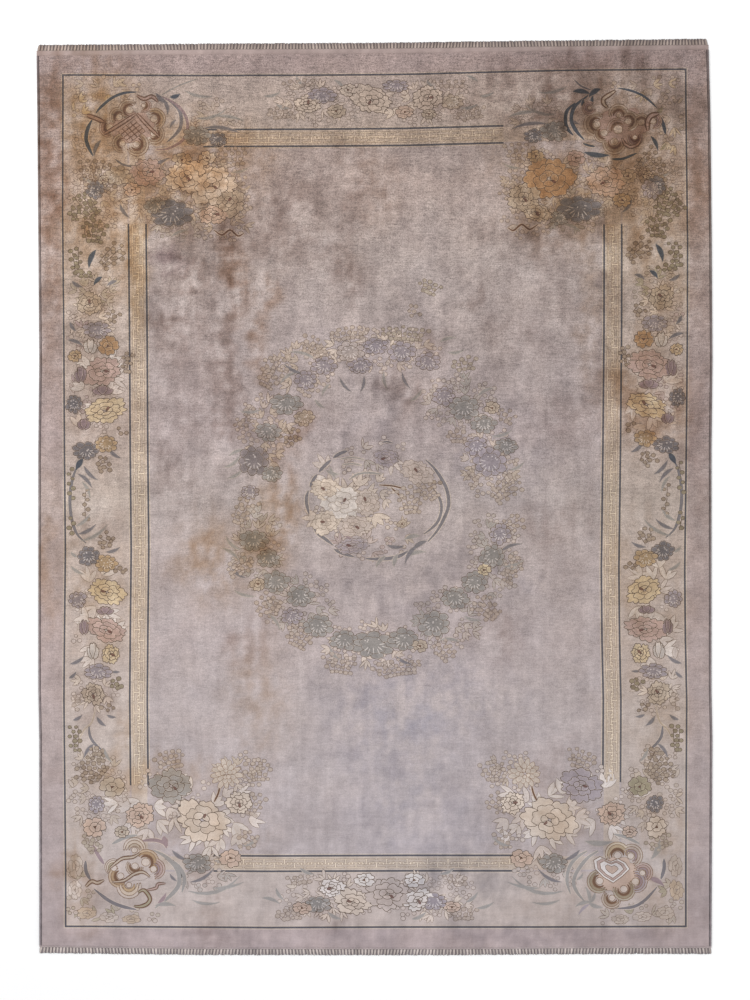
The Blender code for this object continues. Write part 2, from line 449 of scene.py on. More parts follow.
# outline: its corners; level: how high; rim, tip and heart: its colours; focus and reach: where the heart's
# colour turns to the tip's; inset: the rim's share of the full rim; crown: whether it is domed
Form = namedtuple("Form", "outline level rim tip heart focus reach inset crown")


# The parts of a form's faces, the least rim that has a painted highlight inside it, and the highlight's share of the
# rim. The highlight is a pale line just inside the dark rim, painted where a carved edge would catch the light.
RIM, HIGHLIGHT, FILL = 0, 1, 2
HIGHLIGHT_FROM = 0.7
HIGHLIGHT_SHARE = 0.6
# The painted highlight's pale colour, which the tip's colour is mixed towards.
HIGHLIGHT_COLOUR = np.array([0.87, 0.82, 0.76])
# How far a line's pale edge shows on each side of it, and how much wider than a leaf its edge is, in pixels.
PALE_EDGE = 0.75
LEAF_EDGE = 0.9


class Relief:
    """Carved shapes, gathered in pixels and then lifted out of the pile as one closed piece."""

    def __init__(self, name, colours, sizes, ink=0.88, foot=PILE_TOP - 1.2 * MM, level=PILE_TOP + 0.3 * MM):
        self.name = name
        self.ink = ink
        self.colours = colours
        self.sizes = sizes
        self.foot = foot
        self.base = level
        self.level = level
        self.forms = []
        self.chance = random.Random(sizes.seed + len(name))

    def dye(self, colour):
        """A dye's screen colour, by its name or as it is."""
        return np.array(getattr(self.colours, colour) if isinstance(colour, str) else colour)

    def add(self, outline, tip, heart=None, rim=None, focus=(0.0, 0.0), reach=1.0, inset=1.0, crown=True):
        """Adds a shape whose colour runs from the heart to the tip, inside a darker rim."""
        tip = self.dye(tip)
        heart = tip if heart is None else self.dye(heart)
        rim = mixed(tip, self.dye("outline"), self.ink) if rim is None else self.dye(rim)
        level = self.level + self.chance.uniform(0, 0.03) * MM
        self.forms.append(Form(outline, level, rim, tip, heart, focus, reach, inset, crown))

    def flat(self, outline, silk):
        """Adds a flat shape of one colour."""
        self.add(outline, silk, rim=silk, inset=0.0, crown=False)

    def line(self, points, width, colour, ends=(0.3, 0.3), steps=4, edge=False):
        """A drawn line that thins towards its ends, with a pale edge if it is dark."""
        smooth = through(points, steps)
        last = len(smooth) - 1
        half_widths = []
        for number in range(last + 1):
            t = number / last
            taper = min(1.0, ends[0] + (1 - ends[0]) * t * 4, ends[1] + (1 - ends[1]) * (1 - t) * 4)
            half_widths.append(width / 2 * taper)
        if edge:
            self.level -= 0.06 * MM
            pale = mixed(self.dye("border"), self.dye("cream"), 0.6)
            self.flat(band_round(smooth, [half + PALE_EDGE for half in half_widths]), pale)
            self.level += 0.06 * MM
        self.flat(band_round(smooth, half_widths), colour)

    def leaf(self, x0, y0, x1, y1, width, colour, bend=0.0, belly=0.45):
        """A leaf on its edge: a dark one has a pale edge, and a pale one a dark edge."""
        tip = self.dye(colour)
        dark = tip.mean() < 0.62
        rim = mixed(tip, self.dye("cream" if dark else "outline"), 0.6 if dark else 0.55)
        grow = 0.5 / max(math.hypot(x1 - x0, y1 - y0), 1.0)
        ends = (x0 - (x1 - x0) * grow, y0 - (y1 - y0) * grow, x1 + (x1 - x0) * grow, y1 + (y1 - y0) * grow)
        self.flat(leaf(*ends, width + LEAF_EDGE, bend, 6, belly), rim)
        self.level += 0.5 * self.sizes.step
        self.flat(leaf(x0, y0, x1, y1, width, bend, 6, belly), tip)
        self.level -= 0.5 * self.sizes.step

    def up(self, steps=1.0):
        self.level += self.sizes.step * steps

    def down(self):
        self.level = self.base

    def build(self, material="Carved silk"):
        """Makes the piece: each outline is raised into a closed form, and its top is inset and domed."""
        shape = bmesh.new()
        tag = shape.faces.layers.int.new("form")
        part = shape.faces.layers.int.new("part")
        for number, form in enumerate(self.forms):
            outline = form.outline if area_of(form.outline) < 0 else form.outline[::-1]
            corners = [shape.verts.new((*to_metres(across, down), self.foot)) for across, down in outline]
            shape.faces.new(corners)[tag] = number
        grown = bmesh.ops.extrude_face_region(shape, geom=shape.faces[:], use_keep_orig=True)
        tops = [item for item in grown["geom"] if isinstance(item, bmesh.types.BMFace)]
        for face in tops:
            for corner in face.verts:
                corner.co.z = self.forms[face[tag]].level
        for face in shape.faces:
            face[part] = RIM
        for inset in sorted({form.inset for form in self.forms} - {0.0}):
            pads = [face for face in tops if self.forms[face[tag]].inset == inset]
            edge = self.sizes.line / 2 * inset
            bmesh.ops.inset_individual(shape, faces=pads, thickness=edge, depth=self.sizes.carve * inset)
            # A pale ring just inside the rim: a painted highlight on the carved edge.
            if inset >= HIGHLIGHT_FROM:
                ring = bmesh.ops.inset_individual(shape, faces=pads, thickness=edge * HIGHLIGHT_SHARE, depth=0.0)
                for face in ring["faces"]:
                    face[part] = HIGHLIGHT
            for face in pads:
                face[part] = FILL
        crowns = [face for face in tops if self.forms[face[tag]].crown]
        bmesh.ops.poke(shape, faces=crowns, offset=self.sizes.carve * 0.6, center_mode="MEAN")
        bmesh.ops.recalc_face_normals(shape, faces=shape.faces)
        shape.faces.layers.int.remove(tag)
        mesh = bpy.data.meshes.new(self.name)
        shape.to_mesh(mesh)
        shape.free()
        self.paint(mesh)
        smooth_over(mesh)
        return make_piece(self.name, mesh, material)

    def paint(self, mesh):
        """Gives each face its colour: the rim's on the rim, a painted highlight just inside the rim, and a blend from
        heart to tip inside that.
        """
        places = read_places(mesh)
        owners = self.owners(mesh)
        across, down = to_pixels(places)
        table = {key: np.array([getattr(form, key) for form in self.forms]) for key in Form._fields[1:]}
        focus = table["focus"][owners]
        away = np.hypot(across - focus[:, 0], down - focus[:, 1]) / table["reach"][owners]
        share = np.clip(away, 0.0, 1.0)[:, None] ** 0.8
        fill = mixed(table["heart"][owners], table["tip"][owners], share)
        corners, faces, _ = read_corners(mesh)
        parts = np.empty(len(mesh.polygons), dtype=int)
        mesh.attributes["part"].data.foreach_get("value", parts)
        mesh.attributes.remove(mesh.attributes["part"])
        part = parts[faces][:, None]
        # The painted highlight: the tip's colour mixed towards a pale cream.
        pale = mixed(table["tip"][owners], HIGHLIGHT_COLOUR, 0.45)[corners]
        silk = np.where(part == HIGHLIGHT, pale, table["rim"][owners[corners]])
        silk = np.where(part == FILL, fill[corners], silk)
        write_colours(mesh, silk * ageing_and_painted_shade(across, down)[corners])

    def owners(self, mesh):
        """Which form each corner is in: each form is an island, so a new corner goes with its neighbours."""
        edges = np.empty(len(mesh.edges) * 2, dtype=int)
        mesh.edges.foreach_get("vertices", edges)
        edges = edges.reshape(-1, 2)
        first = np.repeat(np.arange(len(self.forms)), [len(form.outline) for form in self.forms])
        owners = np.full(len(mesh.vertices), -1)
        owners[: len(first)] = first
        for _ in range(6):
            for near, far in ((0, 1), (1, 0)):
                spread = (owners[edges[:, near]] >= 0) & (owners[edges[:, far]] < 0)
                owners[edges[spread, far]] = owners[edges[spread, near]]
        return owners


def mixed(first, second, share):
    return np.asarray(first) * (1 - np.asarray(share)) + np.asarray(second) * np.asarray(share)


def area_of(outline):
    """Twice the outline's area: below nought where it runs the other way round."""
    return sum(x0 * y1 - x1 * y0 for (x0, y0), (x1, y1) in zip(outline, outline[1:] + outline[:1]))


def read_places(mesh):
    places = np.empty(len(mesh.vertices) * 3)
    mesh.vertices.foreach_get("co", places)
    return places.reshape(-1, 3)


def read_corners(mesh):
    """Each face corner's vertex and face, and where each face's corners start."""
    corners = np.empty(len(mesh.loops), dtype=int)
    mesh.loops.foreach_get("vertex_index", corners)
    starts = np.empty(len(mesh.polygons), dtype=int)
    mesh.polygons.foreach_get("loop_start", starts)
    faces = np.repeat(np.arange(len(starts)), np.diff(np.append(starts, len(corners))))
    return corners, faces, starts


def to_pixels(places):
    return places[:, 0] / PIXEL + MIDDLE_X, MIDDLE_Y - places[:, 1] / PIXEL


def write_colours(mesh, silk):
    """Stores screen colours, one a face corner, as light in the attribute that the silk's material reads."""
    layer = mesh.color_attributes.new("Silk", "FLOAT_COLOR", "CORNER")
    values = np.ones((len(silk), 4))
    values[:, :3] = to_linear(silk)
    layer.data.foreach_set("color", values.ravel().astype(np.float32))


def smooth_over(mesh):
    mesh.shade_smooth()
    mesh.set_sharp_from_angle(angle=math.radians(50))


def make_piece(name, mesh, material):
    """A finished piece: linked, dressed, riding on the rug and taking its finish from a slot."""
    piece = bpy.data.objects.new(name, mesh)
    bpy.context.scene.collection.objects.link(piece)
    mesh.materials.append(bpy.data.materials[material])
    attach(piece, "root")
    return piece


# Flowers


# reach, petals, lobes on each petal, how much of the heart's colour it has
PEONY_RINGS = ((1.0, 6, 3, 0.15), (0.68, 5, 2, 0.35), (0.34, 4, 1, 0.6))


def petal_ring(relief, x, y, width, height, tip, heart, reach, count, lobes, inset=1.0, turn=0.0, wide=1.25, rim=None):
    """A ring of petals, every second one a step higher, so that each one's outline shows."""
    chance = relief.chance
    start = chance.uniform(0, math.tau)
    for parity in (0, 1):
        for number in range(parity, count, 2):
            direction = start + math.tau * (number + chance.uniform(-0.12, 0.12)) / count
            length = width / 2 * reach * chance.uniform(0.88, 1.07)
            outline = petal(x, y, direction, length, math.tau / count * wide, lobes, height / width, turn, chance)
            silk = np.minimum(tip * chance.uniform(0.96, 1.06), 1.0)
            relief.add(outline, silk, heart=heart, rim=rim, focus=(x, y), reach=length, inset=inset)
        relief.up()


def peony(relief, x, y, width, height, silk):
    """A full flower: rings of scalloped petals round a shaded heart, and one dark stroke on a petal."""
    chance = relief.chance
    turn = chance.uniform(-20, 20)
    dye = relief.dye(silk)
    shade = mixed(dye, relief.dye("brown"), 0.45)
    relief.level = relief.base + 0.1 * MM
    for reach, count, lobes, heart in PEONY_RINGS:
        petal_ring(relief, x, y, width, height, dye, mixed(dye, shade, heart), reach, count, lobes, 0.9, turn)
    angle = chance.uniform(0, math.tau)
    stroke_x, stroke_y = x + width * 0.1 * math.cos(angle), y + height * 0.1 * math.sin(angle)
    stroke = oval(stroke_x, stroke_y, 2.6, 1.4, math.degrees(angle), 7)
    relief.add(stroke, mixed(dye, relief.dye("wine"), 0.75), inset=0.4, crown=False)
    relief.down()


def rosette(relief, x, y, width, height, silk):
    """A small round flower with a scalloped edge, and a fan of pale strokes and seeds in its middle."""
    chance = relief.chance
    dye = relief.dye(silk)
    pale = mixed(dye, relief.dye("white"), 0.66)
    relief.level = relief.base + 0.1 * MM
    petal_ring(relief, x, y, width, height, dye, dye * 0.84, 1.0, 9, 1, 0.8)
    middle = lobed(x, y, width * 0.31, height * 0.31, 7, 0.14, chance.uniform(-30, 30))
    relief.add(middle, dye * 0.9, inset=0.7, crown=False)
    relief.up()
    start = math.pi / 2 + chance.uniform(-0.7, 0.7)
    for number in range(7):
        angle = start + (number - 3) * 0.42
        away = width * (0.2 + 0.06 * (number % 2))
        stroke_x, stroke_y = x + away * math.cos(angle), y + away * math.sin(angle) * height / width
        stroke = oval(stroke_x, stroke_y, width * 0.075, 0.55, math.degrees(angle), 6)
        relief.flat(stroke, pale)
    for number in range(4):
        seed_x, seed_y = x + width * chance.uniform(-0.2, 0.2), y - height * chance.uniform(0.0, 0.22)
        relief.flat(oval(seed_x, seed_y, 0.85, 0.75, 0, 6), pale)
    relief.down()


def daisy(relief, x, y, width, height, silk):
    """A golden flower of many narrow petals in three rings."""
    dye = relief.dye(silk) * 0.93
    rim = mixed(dye, relief.dye("brown"), 0.55)
    relief.level = relief.base + 0.1 * MM
    for reach, count in ((1.0, 13), (0.68, 9), (0.38, 5)):
        petal_ring(relief, x, y, width, height, dye, dye * 0.88, reach, count, 1, 0.8, wide=1.0, rim=rim)
    relief.down()


def bud(relief, x, y, width, height, silk):
    """A half-open flower: overlapping petals and a small dark eye."""
    dye = relief.dye(silk)
    relief.level = relief.base + 0.1 * MM
    petal_ring(relief, x, y, width, height, dye, dye * 0.88, 1.0, 5, 2, 0.9)
    petal_ring(relief, x, y, width, height, dye * 1.03, dye * 0.86, 0.5, 3, 2, 0.8)
    relief.add(oval(x, y, 1.2, 0.9, 30, 6), "brown", rim="wine", inset=0.4, crown=False)
    relief.down()


def shell(relief, x, y, width, height, silk):
    """A small pale flower with a scalloped edge, near the colour of the ground."""
    dye = mixed(relief.dye("border"), relief.dye(silk), 0.5)
    rim = mixed(dye, relief.dye("outline"), 0.5)
    for reach, count in ((1.0, 5), (0.5, 3)):
        petal_ring(relief, x, y, width * 1.15, height * 1.15, dye, dye * 0.95, reach, count, 2, 0.7, rim=rim)
    relief.down()


def fan(relief, x, y, width, height, silk):
    """Three broad petals side by side, all from one foot."""
    chance = relief.chance
    dye = relief.dye(silk)
    relief.level = relief.base + 0.2 * MM
    for lean in (-0.6, 0.6, 0.0):
        direction = -math.pi / 2 + lean + chance.uniform(-0.1, 0.1)
        outline = petal(x, y + height * 0.4, direction, height * 0.85, 1.25, 2, 1.0, 0.0, chance)
        outline = [(x + (across - x) * width / height * 0.62, down) for across, down in outline]
        silk = dye * chance.uniform(0.96, 1.06)
        relief.add(outline, silk, heart=dye * 0.8, focus=(x, y + height * 0.4), reach=height, inset=0.9)
        relief.up()
    relief.down()


# A rim that has no painted highlight inside it.
RING_ALONE = 0.66
# How far apart the stalks of berries stand, and the berries on a stalk, in pixels.
STALKS_APART = 7.4
BERRIES_APART = 5.0


def stalks(relief, x, y, width, height, silk, rim):
    """Berries to the left and right of stalks that spread from one foot."""
    chance = relief.chance
    lean = chance.uniform(-70, 70) if 0.55 < width / height < 1.8 else chance.uniform(-12, 12)
    count = max(1, round(width / STALKS_APART))
    places = max(1, round(height / BERRIES_APART))
    for number in range(count):
        share = (number + 0.5) / count - 0.5
        foot = (share * width * 0.5, height * 0.5)
        top = (share * width, height * (share * share - 0.5) + chance.uniform(-1.5, 1.5))
        knee = tuple(mixed(foot, top, 0.5) + (chance.uniform(-1.5, 1.5), 0.0))
        relief.line(placed(x, y, (foot, knee, top), lean), 0.6, mixed(rim, relief.dye(silk), 0.3), steps=2)
        for place in range(places):
            beside = 1.9 * (-1) ** place + chance.uniform(-0.5, 0.5)
            across, down = turned(*(mixed(foot, top, (place + 0.6) / places) + (beside, 0.0)), lean)
            radius = chance.uniform(2.0, 2.8)
            outline = oval(x + across, y + down, radius, radius * 0.88, 0, 8)
            relief.add(outline, mixed(silk, rim, chance.uniform(0, 0.25)), rim=rim, inset=RING_ALONE)


def berries(relief, x, y, width, height, silk):
    """Round berries on stalks, each with a dark ring."""
    dye = mixed(relief.dye(silk), relief.dye("outline"), 0.12)
    stalks(relief, x, y, width, height, dye, mixed(dye, relief.dye("outline"), 0.8))


def faint_berries(relief, x, y, width, height, silk):
    """Berries on stalks that hardly stand out from the ground."""
    dye = mixed(relief.dye(silk), relief.dye("border"), 0.6)
    stalks(relief, x, y, width, height, dye, mixed(dye, relief.dye("outline"), 0.55))


def puff(relief, x, y, width, height, silk):
    """A soft scalloped shape that lies under other flowers."""
    lobes = max(5, round((width + height) / 9))
    outline = lobed(x, y, width / 2, height / 2, lobes, 0.14, relief.chance.uniform(-10, 10))
    relief.level = relief.base - 0.2 * MM
    relief.add(outline, silk, inset=0.3, crown=False)
    relief.down()


# The room that each sprig takes in a thicket, in square pixels.
SPRIG_ROOM = 120


# A straight leaf's corners, as shares of its half length and half width.
ALMOND = ((1, 0), (0.5, 0.75), (-0.1, 1), (-0.65, 0.62), (-1, 0), (-0.65, -0.62), (-0.1, -1), (0.5, -0.75))


def almond(x, y, half_length, half_width, turn):
    """The outline of a straight leaf with two sharp points."""
    return placed(x, y, [(half_length * along, half_width * over) for along, over in ALMOND], turn)


def clear_of_lines(x, y, room):
    """Whether a shape keeps this far inside the guard line, and this far from the key border's outer line."""
    beside_key = KEY_SPANS["left"][0] < y < KEY_SPANS["left"][1]
    on_key_line = beside_key and abs(depth_inside(KEY_OUTER, x, y)) < room
    return depth_inside(GUARD, x, y) > room and not on_key_line


def thicket(relief, x, y, width, height, silk, size=1.0, berried_share=0.55):
    """Sprigs of pointed leaves and stalks of berries, close together, that lie under the flowers."""
    chance = relief.chance
    dye = relief.dye(silk)
    count = max(3, round(width * height / (SPRIG_ROOM * size * size)))
    turn = chance.uniform(0, math.tau)
    for number in range(count):
        angle = turn + number * 2.39996
        away = math.sqrt((number + 0.5) / count) * 0.42
        foot_x, foot_y = x + width * away * math.cos(angle), y + height * away * math.sin(angle)
        relief.level = relief.base + (0.25 * number / count - 0.3) * MM
        outward = angle + chance.uniform(-0.8, 0.8)
        berried = chance.random() < berried_share
        strength = chance.uniform(0.05, 0.4) if berried else chance.uniform(0.2, 0.9)
        tip = mixed(relief.dye("border"), dye, strength) * chance.uniform(0.98, 1.05)
        rim = mixed(tip, relief.dye("outline"), chance.uniform(0.45, 0.75))
        for part, lean in enumerate((-0.6, 0.6, 0.0)):
            toward = outward + lean + chance.uniform(-0.15, 0.15)
            reach = (3.4 + 2.6 * part) if berried else chance.uniform(4.2, 6.0) * size
            middle = (foot_x + reach * math.cos(toward), foot_y + reach * math.sin(toward))
            if berried:
                radius = chance.uniform(2.1, 2.8)
                outline = oval(*middle, radius, radius * 0.88, 0, 8)
            else:
                outline = almond(*middle, reach, chance.uniform(1.5, 2.2) * size, math.degrees(toward))
            if clear_of_lines(*middle, (radius if berried else reach) + 1.2):
                relief.add(outline, tip, rim=rim, inset=RING_ALONE if berried else 0.75, crown=False)
    relief.down()


def plumes(relief, x, y, width, height, silk):
    """Broad pointed petals under the flowers, with few berries."""
    thicket(relief, x, y, width, height, silk, 1.6, 0.2)


KINDS = {
    "thicket": thicket,
    "plumes": plumes,
    "peony": peony,
    "rosette": rosette,
    "daisy": daisy,
    "bud": bud,
    "shell": shell,
    "fan": fan,
    "berries": berries,
    "faint": faint_berries,
    "puff": puff,
}


def draw_flowers(relief, table):
    for kind, silk, *places in table:
        for place in places:
            KINDS[kind](relief, *place, silk)


def draw_leaves(relief, table):
    for silk, *places in table:
        for x0, y0, x1, y1, width, bend in places:
            relief.leaf(x0, y0, x1, y1, width, silk, bend)


def draw_lines(relief, table):
    for width, silk, points in table:
        relief.line(points, width, silk, edge=True)


def draw_ribbons(relief, table):
    """Bands that are dark outside and paler along their middle."""
    for width, silk, core, points in table:
        relief.level = relief.base + 0.9 * MM
        relief.line(points, width, silk, ends=(0.5, 0.4))
        relief.level = relief.base + 1.1 * MM
        relief.line(points, width * 0.46, core, ends=(0.4, 0.3))
        relief.down()


def arc_band(x, y, radius, start, stop, width):
    """A band round a part of a circle, thin at both ends."""
    count = 10
    line, half_widths = [], []
    for number in range(count + 1):
        t = number / count
        angle = math.radians(start + (stop - start) * t)
        line.append((x + radius * math.cos(angle), y + radius * math.sin(angle)))
        half_widths.append(width / 2 * max(0.25, math.sin(math.pi * t) ** 0.6))
    return band_round(line, half_widths)


def draw_knobs(relief):
    """Cloud scrolls: a pale round lobe, with bands round one side of it, dark inside and paler outside."""
    pale = mixed(relief.dye("border"), relief.dye("cream"), 0.5)
    rim = mixed(relief.dye("brown"), relief.dye("gold"), 0.25)
    for x, y, lobe, start, stop, reach, dark, shade in KNOBS:
        middle = mixed(relief.dye(dark), relief.dye(shade), 0.75)
        outer = mixed(relief.dye("border"), relief.dye(shade), 0.6)
        relief.level = relief.base
        # share of the reach where the band runs, its width as a share of it, its colour
        for share, wide, silk in ((1.05, 0.5, outer), (0.7, 0.46, middle), (0.3, 0.34, relief.dye(dark))):
            away = lobe + reach * share
            relief.level += 0.1 * MM
            relief.flat(arc_band(x, y, away, start - 12, stop + 12, reach * wide + 1.1), rim)
            relief.level += 0.05 * MM
            relief.flat(arc_band(x, y, away, start - 6, stop + 6, reach * wide - 0.2), silk)
        relief.level += 0.1 * MM
        relief.add(oval(x, y, lobe, lobe * 0.95, 0, 12), pale, rim=rim, inset=0.8)
    relief.down()


def draw_lattice(relief):
    """The square with a lattice in the first ring."""
    top, right, bottom, left = LATTICE
    relief.level = relief.base + 0.8 * MM
    relief.add(list(LATTICE), "rose", rim="brown", crown=False)
    relief.level = relief.base + 1.0 * MM
    for number in range(1, LATTICE_CELLS):
        share = number / LATTICE_CELLS
        for ends in ((top, right, left, bottom), (top, left, right, bottom)):
            start, stop = tuple(mixed(ends[0], ends[1], share)), tuple(mixed(ends[2], ends[3], share))
            relief.line([start, stop], 0.9, "brown", ends=(1.0, 1.0), steps=1)
    relief.down()


def draw_heart(relief):
    """The heart-shaped scroll in the last ring: each outline lies inside the one under it."""
    middle_x, middle_y = 612.0, 869.0
    relief.level = relief.base + 0.8 * MM
    for size, silk in ((1.5, "white"), (1.25, "rose"), (1.0, "white"), (0.55, "peach")):
        outline = [(middle_x + (x - middle_x) * size, middle_y + (y - middle_y) * size) for x, y in HEART]
        relief.add(outline, silk, rim="brown", inset=0.9, crown=False)
        relief.up()
    relief.down()


# The corner rings: drawn lines, leaves and cloud scrolls, in pixels

# width, dye, points
RING_LINES = (
    (2.8, "teal", ((137, 92), (124, 93), (112, 98), (101, 107), (96, 113))),
    (3.8, "teal", ((92, 120), (88, 128), (86, 138), (88, 146), (93, 156))),
    (3.0, "mauve", ((160, 96), (171, 101), (181, 109), (187, 120), (187, 131), (182, 141), (167, 149), (156, 149))),
    (3.6, "ink", ((163, 97), (173, 103), (180, 112), (181, 125), (176, 134), (167, 142))),
    (2.2, "ink", ((115, 159), (124, 165), (139, 167))),
    (3.6, "ink", ((141, 162), (150, 164), (158, 163), (169, 158))),
    (1.6, "slate", ((160, 96), (178, 86), (197, 79))),
    (2.4, "teal", ((618, 88), (632, 91), (645, 97), (657, 108))),
    (3.6, "teal", ((658, 115), (663, 123.5), (665.5, 134))),
    (3.6, "teal", ((575, 103), (567, 111), (565.5, 122), (568, 129.5), (573, 135))),
    (3.8, "teal", ((588, 95.6), (576, 105), (572, 113), (571.7, 122), (577, 132), (584, 139.6))),
    (2.2, "teal", ((583, 143.5), (589, 145.5), (595, 146.6))),
    (2.6, "teal", ((612, 159), (623, 158.7), (637, 153))),
    (1.8, "ink", ((574, 79.5), (581, 86), (591, 90))),
    (3.4, "slate", ((112, 844), (124, 838), (137, 835))),
    (3.4, "mauve", ((141, 841), (154, 840), (164, 843), (166.5, 848))),
    (3.6, "ink", ((85.5, 861), (86, 871), (90.5, 880))),
    (4.2, "slate", ((153, 850), (166, 857), (177, 869), (179, 884), (170, 896), (155, 908))),
    (3.8, "slate", ((165, 858), (178, 866), (184.5, 878), (182, 892))),
    (3.4, "ink", ((94, 889), (108, 900), (121, 906), (136, 909.5))),
    (3.6, "mauve", ((93, 845), (98, 855), (104, 864))),
    (3.0, "slate", ((614.4, 834.2), (626, 837.3), (639.3, 843.6))),
    (3.4, "slate", ((587, 851), (576, 858), (569, 868), (567, 881), (570.5, 894))),
    (3.6, "slate", ((598, 851), (587, 858.4), (577, 871.6), (573.5, 882.5), (577, 892), (585, 902))),
    (3.6, "ink", ((664, 859), (664, 869), (661, 879))),
    (3.0, "ink", ((657, 887), (645.5, 899.6), (633.8, 906.6), (618, 908.5))),
)

# dye, then from across and down, to across and down, width and bend of each
RING_LEAVES = (
    ("teal", (170, 97, 180, 94, 4.0, 0.1)),
    ("ink", (163, 100, 167, 115, 3.6, -0.15), (156, 93, 168, 103, 4.6, 0.1),
        (101, 140, 94, 156, 4.0, 0.1), (176, 120, 170, 128, 2.6, 0.1)),
    ("teal", (573, 91.6, 590, 94, 4.6, -0.1), (600.5, 89, 589, 97, 5.0, 0.1),
        (583.5, 99, 584, 109, 3.0, 0.1), (593, 96, 592.6, 105, 3.0, 0.1)),
    ("ink", (573, 120, 579, 124, 2.4, 0.1)),
    ("teal", (584, 152, 610, 155, 5.0, 0.06), (651, 136.5, 657.6, 150.6, 3.6, -0.1)),
    ("olive", (656, 113.5, 662.5, 107, 4.0, 0.1), (660, 150, 666, 143, 3.0, 0.1)),
    ("slate", (155, 906, 176, 906, 4.0, -0.1)),
    ("mauve", (158, 903, 166, 893, 3.6, 0.1)),
    ("ink", (170, 874, 177, 881, 2.6, 0.1)),
    ("mauve", (164, 836, 168, 846, 6.0, 0.1)),
    ("slate", (585, 841, 613, 841.4, 5.4, 0.08), (660, 840, 651, 859, 6.0, -0.1),
        (589.5, 903, 585.6, 887, 3.6, 0.1), (590, 903, 595, 891.8, 3.4, 0.1),
        (591, 902, 575.5, 906.6, 3.8, 0.1), (588, 902, 603, 907.4, 4.0, 0.1)),
    ("lavender", (590, 904, 578.6, 915, 3.0, 0.1)),
    ("slate", (577, 880, 583, 873, 2.4, 0.1)),
    ("mauve", (648, 878, 664, 886, 5.0, -0.1)),
)

# width, outer dye, inner dye, points
RIBBONS = (
    (4.0, "brown", "rose", ((104, 134), (120, 124.5), (136.5, 113.5))),
    (4.0, "brown", "rose", ((136.5, 113.5), (148, 126), (159.5, 137))),
    (5.0, "brown", "rose", ((87, 115.5), (95, 118), (104, 122))),
    (4.4, "brown", "rose", ((137, 95.5), (144, 99), (152, 96.5), (158, 102))),
    (5.0, "brown", "tan", ((615.5, 90.5), (609, 95), (603.5, 99), (604, 104), (608, 108))),
    (6.0, "brown", "rose", ((659, 113.5), (651, 116), (647.5, 122), (648, 131))),
    (3.8, "brown", "rose", ((622, 138), (625, 144), (631, 147), (638, 144), (641, 138))),
    (4.2, "brown", "tan", ((85.7, 886.6), (91.5, 881.3), (97.6, 882.8), (104, 880))),
    (4.4, "brown", "olive", ((138, 892.5), (143, 890), (147, 893), (150, 899), (147, 904), (140, 906.5), (134, 906))),
    (3.8, "brown", "tan", ((110, 868), (117, 862), (123, 858.3), (133, 857), (140, 853))),
    (3.6, "brown", "tan", ((112, 882), (124, 880.5), (134, 874), (143, 872), (150, 877))),
    (3.2, "brown", "rose", ((147, 890), (156, 888), (158, 884), (165.5, 883.5))),
)

# across, down, radius of the lobe, from and to in degrees round it, reach of the bands, dark dye, pale dye
KNOBS = (
    (129.5, 110.2, 4.0, 110, 300, 5.5, "brown", "tan"),
    (119.3, 117.2, 3.6, 140, 300, 5.0, "brown", "tan"),
    (109.7, 127.4, 3.8, 90, 230, 5.0, "brown", "rose"),
    (153.8, 119.1, 3.8, 250, 420, 6.0, "brown", "gold"),
    (153.8, 133.6, 3.5, 320, 480, 5.5, "brown", "tan"),
    (122.5, 143.3, 3.2, 100, 270, 5.5, "brown", "tan"),
    (136.5, 144.0, 3.8, 300, 500, 6.5, "brown", "tan"),
    (143.5, 105.5, 2.4, 300, 460, 4.0, "brown", "rose"),
    (589.5, 108.0, 2.2, 20, 300, 4.0, "mauve", "rose"),
    (604.0, 133.0, 4.0, 90, 220, 5.0, "brown", "tan"),
    (618.0, 129.5, 5.0, 170, 310, 5.0, "brown", "rose"),
    (596.7, 124.2, 4.0, 90, 290, 7.0, "brown", "tan"),
    (618.6, 115.0, 3.2, 180, 370, 6.0, "brown", "tan"),
    (628.2, 121.3, 3.6, 230, 440, 5.5, "brown", "tan"),
    (614.3, 141.8, 4.2, 10, 180, 6.5, "brown", "tan"),
    (641.4, 122.5, 3.8, 200, 330, 4.0, "brown", "tan"),
    (653.0, 121.0, 3.6, 300, 440, 4.0, "mauve", "rose"),
    (634.8, 137.4, 2.6, 330, 560, 4.5, "wine", "mauve"),
    (114.0, 868.0, 3.4, 150, 300, 4.5, "olive", "cream"),
    (129.0, 885.0, 3.0, 0, 180, 8.0, "gold", "cream"),
    (120.6, 876.0, 3.6, 70, 240, 6.5, "brown", "gold"),
    (153.5, 869.0, 3.6, 280, 430, 6.0, "mauve", "rose"),
    (135.0, 866.0, 3.6, 20, 200, 4.5, "brown", "tan"),
    (145.8, 862.1, 4.5, 230, 410, 6.5, "brown", "gold"),
    (134.5, 850.0, 3.2, 190, 350, 7.0, "tan", "cream"),
    (642.4, 873.0, 3.2, 220, 420, 5.5, "mauve", "rose"),
    (635.4, 881.5, 4.0, 270, 460, 6.0, "mauve", "lavender"),
    (630.7, 856.0, 3.6, 220, 420, 6.5, "mauve", "tan"),
    (617.5, 855.2, 4.0, 170, 350, 7.0, "brown", "yellow"),
    (623.7, 889.0, 4.0, 320, 540, 6.0, "brown", "olive"),
    (612.0, 898.0, 3.4, 30, 210, 5.5, "brown", "tan"),
    (599.6, 881.0, 4.0, 60, 250, 6.5, "brown", "olive"),
)

# kind, dye, then across, down, width and height of each
RING_BODIES = (
    ("puff", "rose", (132, 127, 48, 34), (622, 126, 54, 40)),
    ("puff", "border", (134, 868, 48, 28)),
    ("puff", "peach", (618, 875, 42, 38)),
)

# The lattice's corners, from the top round to the right, and its cells along each side.
LATTICE = ((134.4, 119.0), (145.6, 131.2), (129.2, 143.2), (118.0, 131.8))
LATTICE_CELLS = 4

